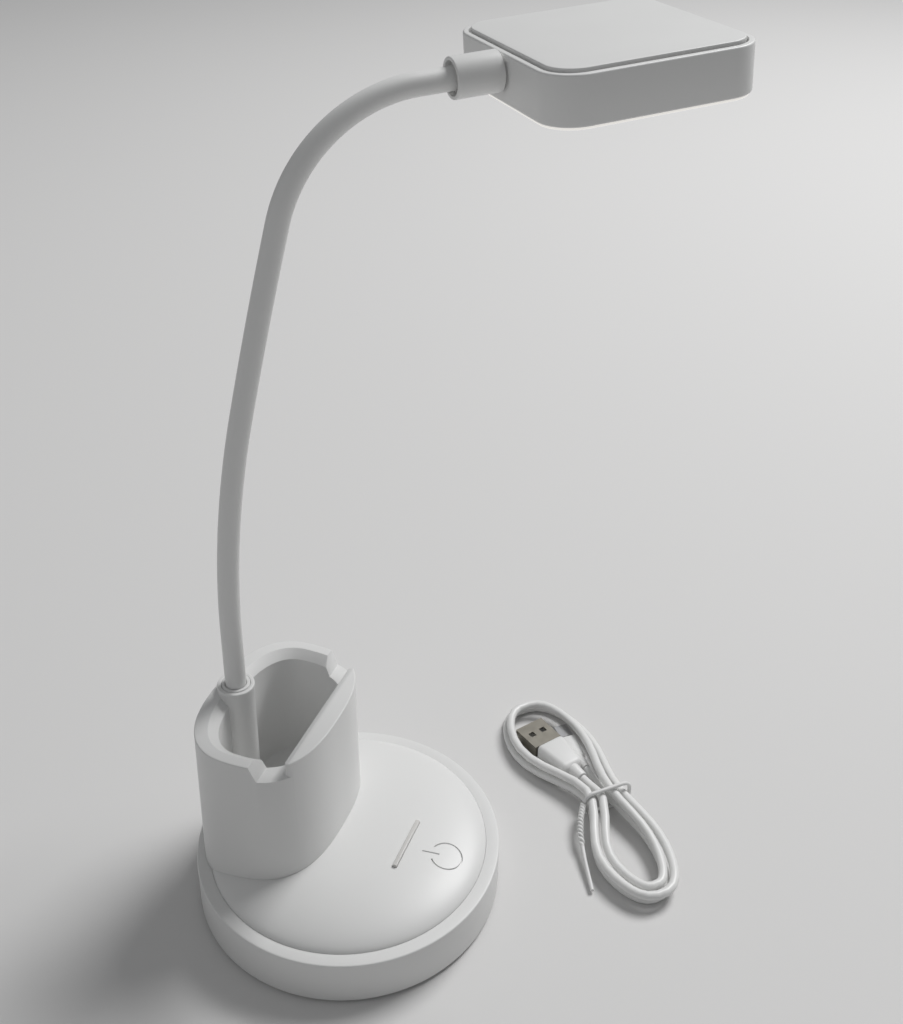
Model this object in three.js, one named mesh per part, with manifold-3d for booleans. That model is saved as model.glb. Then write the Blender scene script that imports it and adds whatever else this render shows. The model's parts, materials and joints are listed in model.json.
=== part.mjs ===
// Rechargeable LED desk lamp: a round weighted base, a cup for pens and a phone,
// a flexible neck and a square lamp head. Millimetres, +Z up, the front towards -Y,
// the origin at the centre of the base on the table.
import * as THREE from 'three';
import { mergeVertices } from 'three/addons/utils/BufferGeometryUtils.js';
import Module from 'manifold-3d';

const wasm = await Module();
wasm.setup();

// Fits and cuts that every piece shares
const fitGap = 0.3;
const overrun = 2;

// Base
const baseRadius = 50;
const ledgeHeight = 17;
const ledgeWidth = 4.4;
const ledgeEdgeRound = 1.2;
const baseWall = 2.2;
const domeRise = 5.9;
const domeWall = 2;
const domeFullness = 4;
const padInset = 4;
const padRadius = baseRadius - padInset;
const padThickness = 1.2;
const bottomCoverThickness = 2.2;
const roundSides = 48;

// Cup for pens and a phone
const rimHeight = 68.7;
const cupHalfWidth = 29.9;
const cupFrontReach = 22.7;
const cupBackReach = 20.7;
const cupSetIn = 4.3;
const cupCentreBack = baseRadius - cupSetIn - cupBackReach;
const cupDraft = 0.7;
const cupFrontPower = 2.7;
const cupBackPower = 2.5;
const cupSideBand = 6.4;
const cupBackBand = 7.4;
const cupSkin = 2.2;
const cupFloorHeight = 27;
const frontWall = 7.2;
const slotFace = cupCentreBack - cupFrontReach + frontWall;
const slotFloorWidth = 6.6;
const slotTopWidth = 8.4;
const slotDepth = 6;
const chamferWidth = 2.6;
const chamferDepth = 1.3;
const lipWidth = 0.9;
const lipDepth = 0.6;
const outlineSides = 44;

// Neck
const neckSetIn = 7.3;
const neckSeat = cupCentreBack + cupBackReach - neckSetIn;
const bossStand = 2.9;
const neckTop = rimHeight + bossStand;
const bossRadius = 5.7;
const grommetRadius = 4.6;
const grommetLength = 7;
const sleeveRadius = 3.35;
const coreRadius = 1.9;
const neckHeading = THREE.MathUtils.degToRad(-45.3);
const neckFootLength = 21;
const neckStemLength = 75;
const neckMiddleLength = 58.4;
const neckArchLength = 56.7;
const neckTipLength = 9.2;
const neckRuns = [
  { length: neckFootLength, turn: 0 },
  { length: neckStemLength, turn: 12.8 },
  { length: neckMiddleLength, turn: 2.2 },
  { length: neckArchLength, turn: 71.6 },
  { length: neckTipLength, turn: -0.6 },
];
const neckJointShares = [0.075, 0.215, 0.355, 0.495, 0.635, 0.775, 0.915];
const sleeveSides = 14;

// Lamp head
const headLength = 64.5;
const headWidth = 66;
const headThickness = 14.5;
const headCornerRadius = 10.5;
const headWall = 1.8;
const headPitch = THREE.MathUtils.degToRad(-4.2);
const headYaw = THREE.MathUtils.degToRad(-1.3);
const headRoll = THREE.MathUtils.degToRad(-0.2);
const collarRadius = 5.8;
const collarLength = 14.5;
const collarGrip = 10;
const collarRise = 1.4;
const topPlateInset = 2.4;
const grooveWidth = 0.7;
const topPlateStand = 0.3;
const topPlateThickness = 1.6;
const diffuserInset = 0.7;
const diffuserStand = 0.8;
const diffuserThickness = 2;

// Looks, shared by pieces of the same stuff
const looks = {
  shell: { color: '#e9e9e7', roughness: 0.42, metalness: 0 },
  sleeve: { color: '#e6e6e4', roughness: 0.5, metalness: 0 },
  steel: { color: '#b9bcbf', roughness: 0.3, metalness: 1 },
  board: { color: '#f1f1ec', roughness: 0.5, metalness: 0 },
  pad: { color: '#2b2c2d', roughness: 0.9, metalness: 0 },
  diffuser: { color: '#fbfaf5', roughness: 0.35, metalness: 0 },
  cell: { color: '#5f7fa6', roughness: 0.45, metalness: 0.1 },
  cord: { color: '#ececea', roughness: 0.4, metalness: 0 },
  shellMetal: { color: '#6d6a64', roughness: 0.35, metalness: 1 },
  insert: { color: '#f4f4f2', roughness: 0.5, metalness: 0 },
};

const lamp = new THREE.Group();

// Turns a closed three.js geometry into a solid with its faces pointing out
function toSolid(geometry) {
  const bare = geometry.clone();
  bare.deleteAttribute('normal');
  bare.deleteAttribute('uv');
  const merged = mergeVertices(bare, 1e-4);
  const points = merged.attributes.position.array;
  const corners = new Uint32Array(merged.index.array);
  if (signedVolume(points, corners) < 0) {
    for (let i = 0; i < corners.length; i += 3) {
      [corners[i], corners[i + 1]] = [corners[i + 1], corners[i]];
    }
  }
  return new wasm.Manifold(new wasm.Mesh({ numProp: 3, vertProperties: points, triVerts: corners }));
}

// Six times the volume inside a closed mesh, negative if its faces point in
function signedVolume(points, corners) {
  const a = new THREE.Vector3();
  const b = new THREE.Vector3();
  const c = new THREE.Vector3();
  let sum = 0;
  for (let i = 0; i < corners.length; i += 3) {
    a.fromArray(points, 3 * corners[i]);
    b.fromArray(points, 3 * corners[i + 1]);
    c.fromArray(points, 3 * corners[i + 2]);
    sum += a.dot(b.cross(c));
  }
  return sum;
}

// Adds a solid to a group as a named mesh
function addPiece(name, solid, look, group = lamp) {
  const { vertProperties, triVerts } = solid.getMesh();
  const geometry = new THREE.BufferGeometry();
  geometry.setAttribute('position', new THREE.BufferAttribute(vertProperties, 3));
  geometry.setIndex(new THREE.BufferAttribute(triVerts, 1));
  geometry.computeVertexNormals();
  const piece = new THREE.Mesh(geometry, new THREE.MeshStandardMaterial(looks[look]));
  piece.name = name;
  group.add(piece);
  return piece;
}

// A body turned about Z, from [radius, height] pairs that start and end on the axis or close
function turned(profile, sides = roundSides) {
  const points = profile.map(([radius, height]) => new THREE.Vector2(radius, height));
  return toSolid(new THREE.LatheGeometry(points, sides).rotateX(Math.PI / 2));
}

function rod(radius, bottom, top, sides = 24) {
  const geometry = new THREE.CylinderGeometry(radius, radius, top - bottom, sides);
  return toSolid(geometry.rotateX(Math.PI / 2).translate(0, 0, (bottom + top) / 2));
}

function block(low, high) {
  const size = high.map((value, i) => value - low[i]);
  const middle = high.map((value, i) => (value + low[i]) / 2);
  return toSolid(new THREE.BoxGeometry(...size).translate(...middle));
}

// A body lofted through outlines of equal point count, from the lowest to the highest
function loft(sections) {
  const count = sections[0].outline.length;
  const points = sections.flatMap(({ outline, height }) => outline.map((p) => [p.x, p.y, height]).flat());
  const corners = [];
  for (let level = 0; level + 1 < sections.length; level += 1) {
    for (let i = 0; i < count; i += 1) {
      const next = (i + 1) % count;
      const a = level * count + i;
      const b = level * count + next;
      corners.push(a, b, b + count, a, b + count, a + count);
    }
  }
  const top = (sections.length - 1) * count;
  for (const [a, b, c] of THREE.ShapeUtils.triangulateShape(sections[0].outline, [])) {
    corners.push(c, b, a);
  }
  for (const [a, b, c] of THREE.ShapeUtils.triangulateShape(sections.at(-1).outline, [])) {
    corners.push(top + a, top + b, top + c);
  }
  const geometry = new THREE.BufferGeometry();
  geometry.setAttribute('position', new THREE.Float32BufferAttribute(points, 3));
  geometry.setIndex(corners);
  return toSolid(geometry);
}

// Places along a circle, in degrees, for repeated pieces
function around(count, radius, firstDegrees) {
  return Array.from({ length: count }, (_, i) => {
    const angle = THREE.MathUtils.degToRad(firstDegrees + (360 * i) / count);
    return [radius * Math.cos(angle), radius * Math.sin(angle)];
  });
}

// Base: the dome's surface, from its foot at the ledge to its crown

const domeFoot = baseRadius - ledgeWidth;
const crownHeight = ledgeHeight + domeRise;

function domeHeight(radius) {
  return ledgeHeight + domeRise * (1 - (radius / domeFoot) ** domeFullness);
}

const domeRingShares = [1, 0.98, 0.94, 0.88, 0.79, 0.67, 0.48];

function domeArc(drop, footRadius) {
  return domeRingShares.map((share) => [share * footRadius, domeHeight(share * domeFoot) - drop]);
}

// Base housing: outer wall, flat ledge, and the step that carries the top cover

const ledgeThickness = 2;
const stepWidth = 2.6;
const stepThickness = 1.6;
const housingInside = baseRadius - baseWall;
const stepTop = ledgeHeight - ledgeThickness;
const portHeight = 8.2;
const portWidth = 7.6;
const portThickness = 2.8;
const portClearance = 0.35;

function portOutline(grow) {
  const half = portThickness / 2 + grow;
  const shape = new THREE.Shape();
  const reach = portWidth / 2 - portThickness / 2;
  shape.absarc(reach, 0, half, -Math.PI / 2, Math.PI / 2);
  shape.absarc(-reach, 0, half, Math.PI / 2, (3 * Math.PI) / 2);
  return shape;
}

// The socket's outline carried along Y between two places
function portBar(grow, from, to) {
  const settings = { depth: to - from, bevelEnabled: false, curveSegments: 6 };
  const bar = new THREE.ExtrudeGeometry(portOutline(grow), settings);
  return toSolid(bar.rotateX(Math.PI / 2).translate(0, to, portHeight));
}

function baseHousing() {
  const seat = domeFoot + fitGap;
  const round = ledgeEdgeRound;
  const shell = turned([
    [housingInside, padThickness],
    [baseRadius, padThickness],
    [baseRadius, ledgeHeight - round],
    [baseRadius - round * (1 - Math.SQRT1_2), ledgeHeight - round * (1 - Math.SQRT1_2)],
    [baseRadius - round, ledgeHeight],
    [seat, ledgeHeight],
    [seat, stepTop],
    [seat - stepWidth, stepTop],
    [seat - stepWidth, stepTop - stepThickness],
    [housingInside, stepTop - stepThickness],
    [housingInside, padThickness],
  ]);
  return shell.subtract(portBar(portClearance, housingInside - overrun, baseRadius + overrun));
}

addPiece('base_housing', baseHousing(), 'shell');

// Pad and bottom cover, with the four screws that reach up into the top cover's posts

const coverBottom = padThickness + fitGap;
const coverTop = coverBottom + bottomCoverThickness;
const postRadius = 3.2;
const postInset = 11.5;
const postRing = baseRadius - postInset;
const postPlaces = around(4, postRing, 45);
const screwRadius = 1.3;
const screwHeadRadius = 2.4;
const screwHeadHeight = 1.4;
const screwLength = 11;
const weightClearance = 2.3;
const weightRadius = postRing - postRadius - weightClearance;
const weightThickness = 4.2;
const ribHeight = 1.2;
const ribWidth = 1.6;
const ribShares = [0.364, 0.788];

addPiece('base_pad', turned([
  [0, 0],
  [padRadius, 0],
  [padRadius, padThickness],
  [0, padThickness],
], 48), 'pad');

function bottomCover() {
  let cover = turned([
    [0, coverBottom],
    [housingInside - fitGap, coverBottom],
    [housingInside - fitGap, coverTop],
    [0, coverTop],
  ]);
  for (const share of ribShares) {
    const ring = share * weightRadius;
    cover = cover.add(turned([
      [ring - ribWidth / 2, coverTop - fitGap],
      [ring + ribWidth / 2, coverTop - fitGap],
      [ring + ribWidth / 2, coverTop + ribHeight],
      [ring - ribWidth / 2, coverTop + ribHeight],
      [ring - ribWidth / 2, coverTop - fitGap],
    ], 36));
  }
  for (const [x, y] of postPlaces) {
    const hole = rod(screwRadius + fitGap, coverBottom - overrun, coverTop + overrun, 16);
    const recess = rod(screwHeadRadius + fitGap, coverBottom - overrun, coverBottom + screwHeadHeight, 16);
    cover = cover.subtract(hole.add(recess).translate([x, y, 0]));
  }
  return cover;
}

function coverScrew() {
  const headTop = coverBottom + screwHeadHeight - fitGap;
  const head = rod(screwHeadRadius, coverBottom, headTop, 16);
  const slot = block(
    [-screwHeadRadius - overrun, -screwRadius / 4, coverBottom - overrun],
    [screwHeadRadius + overrun, screwRadius / 4, coverBottom + screwHeadHeight / 3],
  );
  const shank = rod(screwRadius, coverBottom + screwHeadHeight / 2, coverBottom + screwLength, 12);
  return head.subtract(slot).add(shank);
}

const boardThickness = 1.6;
const socketSkin = 0.3;
const chargeBoardWidth = 20;
const chargeBoardLength = 12;
const chargeBoardTop = portHeight - portThickness / 2 - fitGap;
const chargeBoardBack = Math.sqrt(housingInside ** 2 - (chargeBoardWidth / 2) ** 2) - fitGap;
const standoffRadius = 1.6;

function withStandoffs(cover) {
  const reach = chargeBoardWidth / 2 - standoffRadius;
  const top = chargeBoardTop - boardThickness - fitGap;
  const back = chargeBoardBack - chargeBoardLength + standoffRadius;
  for (const x of [-reach, reach]) {
    cover = cover.add(rod(standoffRadius, coverTop - fitGap, top, 12).translate([x, back, 0]));
  }
  return cover;
}

addPiece('bottom_cover', withStandoffs(bottomCover()), 'shell');
postPlaces.forEach(([x, y], i) => {
  addPiece(`cover_screw_${i + 1}`, coverScrew(), 'steel').position.set(x, y, 0);
});

// Counterweight on the cover's ribs, and the flat cell on the counterweight

const weightBottom = coverTop + ribHeight + fitGap;
const weightTop = weightBottom + weightThickness;
const cellLengthShare = 4 / 3;
const cellWidthShare = 12 / 11;
const cellLength = cellLengthShare * weightRadius;
const cellWidth = cellWidthShare * weightRadius;
const cellThickness = 7.5;
const cellRound = 2.5;

addPiece('counterweight', turned([
  [0, weightBottom],
  [weightRadius, weightBottom],
  [weightRadius, weightTop],
  [0, weightTop],
], 40), 'steel');

function roundedOutline(length, width, radius, steps) {
  const points = [];
  const corners = [[1, 1], [-1, 1], [-1, -1], [1, -1]];
  corners.forEach(([sx, sy], corner) => {
    const cx = sx * (length / 2 - radius);
    const cy = sy * (width / 2 - radius);
    for (let i = 0; i <= steps; i += 1) {
      const angle = (Math.PI / 2) * (corner + i / steps);
      points.push(new THREE.Vector2(cx + radius * Math.cos(angle), cy + radius * Math.sin(angle)));
    }
  });
  return points;
}

function cell() {
  const outline = (inset) => (
    roundedOutline(cellLength - 2 * inset, cellWidth - 2 * inset, cellRound - inset, 3)
  );
  const bottom = weightTop + fitGap;
  return loft([
    { outline: outline(cellRound / 3), height: bottom },
    { outline: outline(0), height: bottom + cellRound / 3 },
    { outline: outline(0), height: bottom + cellThickness - cellRound / 3 },
    { outline: outline(cellRound / 3), height: bottom + cellThickness },
  ]);
}

const cellForward = 2;
addPiece('battery_cell', cell(), 'cell').position.y = cellForward;

// Charging board, with the socket that shows in the back of the base

addPiece('charging_board', block(
  [-chargeBoardWidth / 2, chargeBoardBack - chargeBoardLength, chargeBoardTop - boardThickness],
  [chargeBoardWidth / 2, chargeBoardBack, chargeBoardTop],
), 'board');

const socketLength = 7.4;
const socketMouth = baseRadius - baseWall / 3;
const socketDepth = 6;
const tongueThickness = 0.7;

function chargingSocket() {
  const shell = portBar(0, socketMouth - socketLength, socketMouth);
  const mouth = portBar(-socketSkin, socketMouth - socketDepth, socketMouth + overrun);
  const tongue = block(
    [
      -portWidth / 2 + portThickness / 2,
      socketMouth - socketDepth - socketSkin,
      portHeight - tongueThickness / 2,
    ],
    [portWidth / 2 - portThickness / 2, socketMouth - socketDepth / 4, portHeight + tongueThickness / 2],
  );
  return shell.subtract(mouth).add(tongue);
}

addPiece('charging_socket', chargingSocket(), 'steel');

// Top cover: the dome with its posts, the touch key's engraved symbol and the indicator's slot

const barLength = 20.3;
const barWidth = 1.9;
const barForwardShare = 0.404;
const barForward = barForwardShare * baseRadius;
const barStand = 0.45;
const barDepth = 4;
const keyForwardShare = 0.676;
const keyForward = keyForwardShare * baseRadius;
const keyRadius = 5.3;
const keyLine = 0.7;
const keyDepth = 0.35;
const keyGapDegrees = 52;
const keyStroke = 5.8;

// Holes in the dome for the neck and for the two screws of the cup
const neckHoleRadius = sleeveRadius + fitGap;
const cupScrewAcross = 15;
const cupScrewForward = 3;
const cupScrewPlaces = [-cupScrewAcross, cupScrewAcross].map((x) => [x, cupCentreBack - cupScrewForward]);
const cupScrewRadius = 1.2;
const cupScrewHeadRadius = 2.2;
const cupScrewHeadHeight = 1.3;
const cupScrewTop = cupFloorHeight - cupSkin / 2 - fitGap;

// The power symbol: an open ring with a stroke through its gap, lying flat at the origin
function powerSymbol(height) {
  const gap = THREE.MathUtils.degToRad(keyGapDegrees) / 2;
  const start = Math.PI / 2 + gap;
  const end = Math.PI / 2 - gap + 2 * Math.PI;
  const ring = new THREE.Shape();
  ring.absarc(0, 0, keyRadius, start, end, false);
  ring.absarc(0, 0, keyRadius - keyLine, end, start, true);
  const settings = { depth: height, bevelEnabled: false, curveSegments: 14 };
  const open = toSolid(new THREE.ExtrudeGeometry(ring, settings));
  const stroke = block(
    [-keyLine / 2, keyRadius - keyStroke / 2, 0],
    [keyLine / 2, keyRadius + keyStroke / 2, height],
  );
  return open.add(stroke);
}

// A copy of the dome's surface layer between two depths, to cut or trim along it
function domeLayer(outer, inner) {
  return turned([
    [0, crownHeight - inner],
    ...domeArc(inner, domeFoot).reverse(),
    ...domeArc(outer, domeFoot),
    [0, crownHeight - outer],
  ]);
}

function topCover() {
  const skirtInside = domeFoot - domeWall;
  let cover = turned([
    [0, crownHeight - domeWall],
    ...domeArc(domeWall, skirtInside).reverse(),
    [skirtInside, stepTop + fitGap],
    [domeFoot, stepTop + fitGap],
    ...domeArc(0, domeFoot),
    [0, crownHeight],
  ]);
  for (const [x, y] of postPlaces) {
    const post = rod(postRadius, coverTop + fitGap, domeHeight(postRing) - domeWall / 2, 20);
    cover = cover.add(post.translate([x, y, 0]));
  }
  for (const [x, y] of postPlaces) {
    const bore = rod(screwRadius + fitGap / 3, coverTop - overrun, coverBottom + screwLength + fitGap, 12);
    cover = cover.subtract(bore.translate([x, y, 0]));
  }
  const bottom = stepTop - overrun;
  cover = cover.subtract(rod(neckHoleRadius, bottom, crownHeight, 24).translate([0, neckSeat, 0]));
  for (const [x, y] of cupScrewPlaces) {
    const hole = rod(cupScrewRadius + fitGap, bottom, crownHeight + overrun, 12);
    cover = cover.subtract(hole.translate([x, y, 0]));
  }
  const slotHalf = [barLength / 2 + fitGap / 2, barWidth / 2 + fitGap / 2];
  cover = cover.subtract(block(
    [-slotHalf[0], -barForward - slotHalf[1], bottom],
    [slotHalf[0], -barForward + slotHalf[1], crownHeight + overrun],
  ));
  const symbol = powerSymbol(2 * crownHeight).translate([0, -keyForward, 0]);
  return cover.subtract(symbol.intersect(domeLayer(-keyDepth, keyDepth)));
}

addPiece('top_cover', topCover(), 'shell');

// Indicator strip: a light guide that stands in the slot and shows as a low bar
function indicatorStrip() {
  const top = domeHeight(barForward) + barStand;
  return block(
    [-barLength / 2, -barForward - barWidth / 2, top - barDepth],
    [barLength / 2, -barForward + barWidth / 2, top],
  );
}

addPiece('indicator_strip', indicatorStrip(), 'diffuser');

// Control board under the front of the dome, with the touch key's spring

const controlBoardWidth = 26;
const controlBoardLength = 15;
const controlBoardShare = 0.63;
const controlBoardForward = controlBoardShare * baseRadius;
const controlBoardTop = 12.6;
const springRadius = 3;
const springWire = 0.7;
const springCoils = 4;

function controlBoard() {
  const back = -controlBoardForward + controlBoardLength / 2;
  const board = block(
    [-controlBoardWidth / 2, back - controlBoardLength, controlBoardTop - boardThickness],
    [controlBoardWidth / 2, back, controlBoardTop],
  );
  const chip = block(
    [-controlBoardWidth / 5, back - controlBoardLength / 4, controlBoardTop - boardThickness * 2],
    [controlBoardWidth / 5, back - overrun, controlBoardTop - boardThickness / 2],
  );
  return board.add(chip);
}

// A coil spring as one unbroken wire, standing at the origin with a flat cut at each end
function touchSpring(height) {
  const reach = height - springWire;
  const turns = springCoils;
  const radius = springRadius - springWire / 2;
  class Coil extends THREE.Curve {
    getPoint(t, target = new THREE.Vector3()) {
      const angle = 2 * Math.PI * turns * t;
      return target.set(radius * Math.cos(angle), radius * Math.sin(angle), springWire / 2 + reach * t);
    }
  }
  const wire = new THREE.Shape().absarc(0, 0, springWire / 2, 0, 2 * Math.PI);
  const settings = { steps: turns * 8, curveSegments: 3, bevelEnabled: false, extrudePath: new Coil() };
  return toSolid(new THREE.ExtrudeGeometry(wire, settings));
}

addPiece('control_board', controlBoard(), 'board');
const springBottom = controlBoardTop + fitGap;
const springTop = domeHeight(keyForward + springRadius) - domeWall - fitGap;
addPiece('touch_spring', touchSpring(springTop - springBottom), 'steel')
  .position.set(0, -keyForward, springBottom);

// Cup for pens and a phone

// An oval with its own power in front and behind, as seen from above
function cupOutline(halfWidth, frontReach, backReach) {
  return Array.from({ length: outlineSides }, (_, i) => {
    const angle = (2 * Math.PI * (i + 0.5)) / outlineSides;
    const across = Math.cos(angle);
    const along = Math.sin(angle);
    const power = along < 0 ? cupFrontPower : cupBackPower;
    const reach = along < 0 ? frontReach : backReach;
    return new THREE.Vector2(
      halfWidth * Math.sign(across) * Math.abs(across) ** (2 / power),
      cupCentreBack + reach * Math.sign(along) * Math.abs(along) ** (2 / power),
    );
  });
}

function grownCup(grow) {
  return cupOutline(cupHalfWidth + grow, cupFrontReach + grow, cupBackReach + grow);
}

// The cavity is the oval inside the band, cut straight across at the phone's face
const cavityFrontReach = 19;

function cavityOutline(grow) {
  return cupOutline(
    cupHalfWidth - cupSideBand + grow,
    cavityFrontReach + grow,
    cupBackReach - cupBackBand + grow,
  );
}

function behindSlotFace(solid, setBack = 0) {
  const far = cupHalfWidth + baseRadius;
  return solid.intersect(block([-far, slotFace + setBack, -overrun], [far, 2 * far, neckTop + 2 * overrun]));
}

function cupCavity() {
  const body = loft([
    { outline: cavityOutline(0), height: cupFloorHeight },
    { outline: cavityOutline(0), height: rimHeight - chamferDepth },
    { outline: cavityOutline(chamferWidth), height: rimHeight },
    { outline: cavityOutline(chamferWidth), height: rimHeight + overrun },
  ]);
  return behindSlotFace(body);
}

// A bar across the cup that leaves a notch at each end of the front wall
function phoneNotches() {
  const floor = rimHeight - slotDepth;
  const top = rimHeight + slotDepth / 2;
  const lean = (slotTopWidth - slotFloorWidth) * 1.5;
  const shape = new THREE.Shape();
  shape.moveTo(slotFace, floor);
  shape.lineTo(slotFace + slotFloorWidth, floor);
  shape.lineTo(slotFace + slotFloorWidth + lean, top);
  shape.lineTo(slotFace, top);
  const width = 2 * (cupHalfWidth + overrun);
  const bar = new THREE.ExtrudeGeometry(shape, { depth: width, bevelEnabled: false });
  const turn = new THREE.Matrix4().makeBasis(
    new THREE.Vector3(0, 1, 0),
    new THREE.Vector3(0, 0, 1),
    new THREE.Vector3(1, 0, 0),
  );
  return toSolid(bar.applyMatrix4(turn).translate(-width / 2, 0, 0));
}

// The space between the outer skin and the cavity's skin, open at the foot
function cupHollow() {
  const roof = rimHeight - slotDepth - cupSkin - chamferDepth;
  const outer = loft([
    { outline: grownCup(cupDraft - cupSkin), height: ledgeHeight - overrun },
    { outline: grownCup(-cupSkin), height: roof },
  ]);
  const inner = loft([
    { outline: cavityOutline(cupSkin), height: cupFloorHeight - cupSkin },
    { outline: cavityOutline(cupSkin), height: roof + overrun },
  ]);
  const innerWall = behindSlotFace(inner, -cupSkin);
  return outer.subtract(innerWall);
}

const bossSides = 24;
const tubeBoreRadius = sleeveRadius + 2 * fitGap;

function cup() {
  let body = loft([
    { outline: grownCup(cupDraft), height: ledgeHeight - overrun },
    { outline: grownCup(0), height: rimHeight - cupSkin / 4 },
    { outline: grownCup(-cupSkin / 4), height: rimHeight },
  ]);
  body = body.subtract(cupCavity()).subtract(phoneNotches()).subtract(cupHollow());
  const lip = block(
    [-cupHalfWidth, slotFace - lipWidth, rimHeight - lipDepth],
    [cupHalfWidth, slotFace + overrun, rimHeight + overrun],
  );
  body = body.subtract(lip.intersect(loft([
    { outline: cavityOutline(0), height: rimHeight - 2 * lipDepth },
    { outline: cavityOutline(0), height: rimHeight + 2 * overrun },
  ])));
  const boss = rod(bossRadius, ledgeHeight + fitGap, neckTop, bossSides).translate([0, neckSeat, 0]);
  body = body.add(boss);
  for (const [x, y] of cupScrewPlaces) {
    body = body.add(rod(postRadius, ledgeHeight, cupFloorHeight - cupSkin / 2, 16).translate([x, y, 0]));
  }
  const grommetHole = rod(grommetRadius + fitGap / 2, neckTop - grommetLength, neckTop + overrun, bossSides);
  const tubeBore = rod(tubeBoreRadius, ledgeHeight - overrun, neckTop, bossSides);
  body = body.subtract(grommetHole.add(tubeBore).translate([0, neckSeat, 0]));
  for (const [x, y] of cupScrewPlaces) {
    const bore = rod(cupScrewRadius + fitGap / 3, ledgeHeight - overrun, cupFloorHeight - cupSkin / 2, 12);
    body = body.subtract(bore.translate([x, y, 0]));
  }
  return body.subtract(baseBelowCup());
}

// What the cup stands on: the dome and the ledge, grown by the fit
function baseBelowCup() {
  return turned([
    [0, -overrun],
    [baseRadius + overrun, -overrun],
    [baseRadius + overrun, ledgeHeight + fitGap],
    [domeFoot + fitGap, ledgeHeight + fitGap],
    ...domeArc(-fitGap, domeFoot),
    [0, crownHeight + fitGap],
  ]);
}

addPiece('pen_cup', cup(), 'shell');

function cupScrew(under) {
  const head = rod(cupScrewHeadRadius, under - cupScrewHeadHeight, under, 16);
  return head.add(rod(cupScrewRadius, under - cupScrewHeadHeight / 2, cupScrewTop, 12));
}

cupScrewPlaces.forEach(([x, y], i) => {
  const under = domeHeight(Math.hypot(x, y) + cupScrewHeadRadius) - domeWall - fitGap;
  addPiece(`cup_screw_${i + 1}`, cupScrew(under), 'steel').position.set(x, y, 0);
});

// Neck

// The neck's centre line: level and upright runs with their turns, one after the other.
// Places are in the neck's own plane: x away from the seat, z up.
const neckLength = neckRuns.reduce((sum, run) => sum + run.length, 0);

function neckPose(distance) {
  let tilt = 0;
  let left = Math.min(Math.max(distance, 0), neckLength);
  const place = new THREE.Vector3(0, 0, neckTop + Math.min(distance, 0));
  for (const run of neckRuns) {
    const part = Math.min(left, run.length);
    const turn = THREE.MathUtils.degToRad(run.turn) * (part / run.length);
    const chord = turn === 0 ? part : (part * Math.sin(turn / 2)) / (turn / 2);
    place.x += chord * Math.sin(tilt + turn / 2);
    place.z += chord * Math.cos(tilt + turn / 2);
    tilt += turn;
    left -= part;
  }
  const beyond = Math.max(distance - neckLength, 0);
  place.x += beyond * Math.sin(tilt);
  place.z += beyond * Math.cos(tilt);
  return { place, tilt };
}

// A solid round bar along the centre line between two distances
function neckBar(radius, from, to, sides, step) {
  class Line extends THREE.Curve {
    getPoint(t, target = new THREE.Vector3()) {
      return target.copy(neckPose(from + (to - from) * t).place);
    }
  }
  const settings = {
    steps: to <= neckRuns[0].length ? 1 : Math.ceil((to - from) / step),
    curveSegments: sides / 2,
    bevelEnabled: false,
    extrudePath: new Line(),
  };
  const section = new THREE.Shape().absarc(0, 0, radius, 0, 2 * Math.PI);
  return toSolid(new THREE.ExtrudeGeometry(section, settings));
}

const jointDistances = neckJointShares.map((share) => share * neckLength);
const sleeveStep = 8;
const coreSides = 10;
const coreFootGap = sleeveRadius + 2 * fitGap;
const cupLip = Math.sqrt(2 * sleeveRadius * fitGap + fitGap * fitGap) + fitGap;

// A ball about the centre line at a distance
function neckBall(radius, distance) {
  const { place, tilt } = neckPose(distance);
  const ball = new THREE.SphereGeometry(radius, sleeveSides, sleeveSides / 2).rotateX(Math.PI / 2);
  return toSolid(ball.rotateY(tilt).translate(place.x, place.y, place.z));
}

// One length of sleeve: a cup at its lower end and a ball at its upper end
function sleeveLength(from, to, lowJoint, highJoint) {
  let body = neckBar(sleeveRadius, lowJoint ? from + cupLip : from, to, sleeveSides, sleeveStep);
  if (highJoint) {
    body = body.add(neckBall(sleeveRadius, to));
  }
  if (lowJoint) {
    body = body.subtract(neckBall(sleeveRadius + fitGap, from));
  }
  const bore = neckBar(coreRadius + fitGap, from - overrun, to + 2 * sleeveRadius, coreSides, sleeveStep);
  return body.subtract(bore);
}

const neckPlane = new THREE.Group();
neckPlane.position.y = neckSeat;
neckPlane.rotation.z = neckHeading;
lamp.add(neckPlane);

const neckFoot = -(neckTop - ledgeHeight + overrun);
const neckEnd = neckLength + collarGrip;
const neckStops = [neckFoot, ...jointDistances, neckEnd];

neckStops.slice(0, -1).forEach((from, i) => {
  const to = neckStops[i + 1];
  const low = i > 0;
  const high = i < jointDistances.length;
  const name = ['foot', 'a', 'b', 'c', 'd', 'e', 'f', 'tip'][i];
  addPiece(`neck_sleeve_${name}`, sleeveLength(from, to, low, high), 'sleeve', neckPlane);
  const coreFrom = low ? from + coreFootGap : from;
  const core = neckBar(coreRadius, coreFrom, high ? to - fitGap : to - 2 * fitGap, coreSides, sleeveStep);
  addPiece(`neck_core_${name}`, core, 'steel', neckPlane);
});

// Grommet in the boss, and the nut that holds the neck's foot under the dome

const grommetChamfer = 0.8;
const nutRadius = 5.2;
const nutHeight = 3.4;

function grommet() {
  const inside = sleeveRadius + fitGap;
  const bottom = neckTop - grommetLength + fitGap;
  const top = neckTop + fitGap / 2;
  return turned([
    [inside, bottom],
    [grommetRadius, bottom],
    [grommetRadius, top],
    [inside + grommetChamfer, top],
    [inside, top - grommetChamfer],
    [inside, bottom],
  ], bossSides);
}

addPiece('neck_grommet', grommet(), 'shell').position.y = neckSeat;

const nutTop = stepTop + fitGap;

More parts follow.
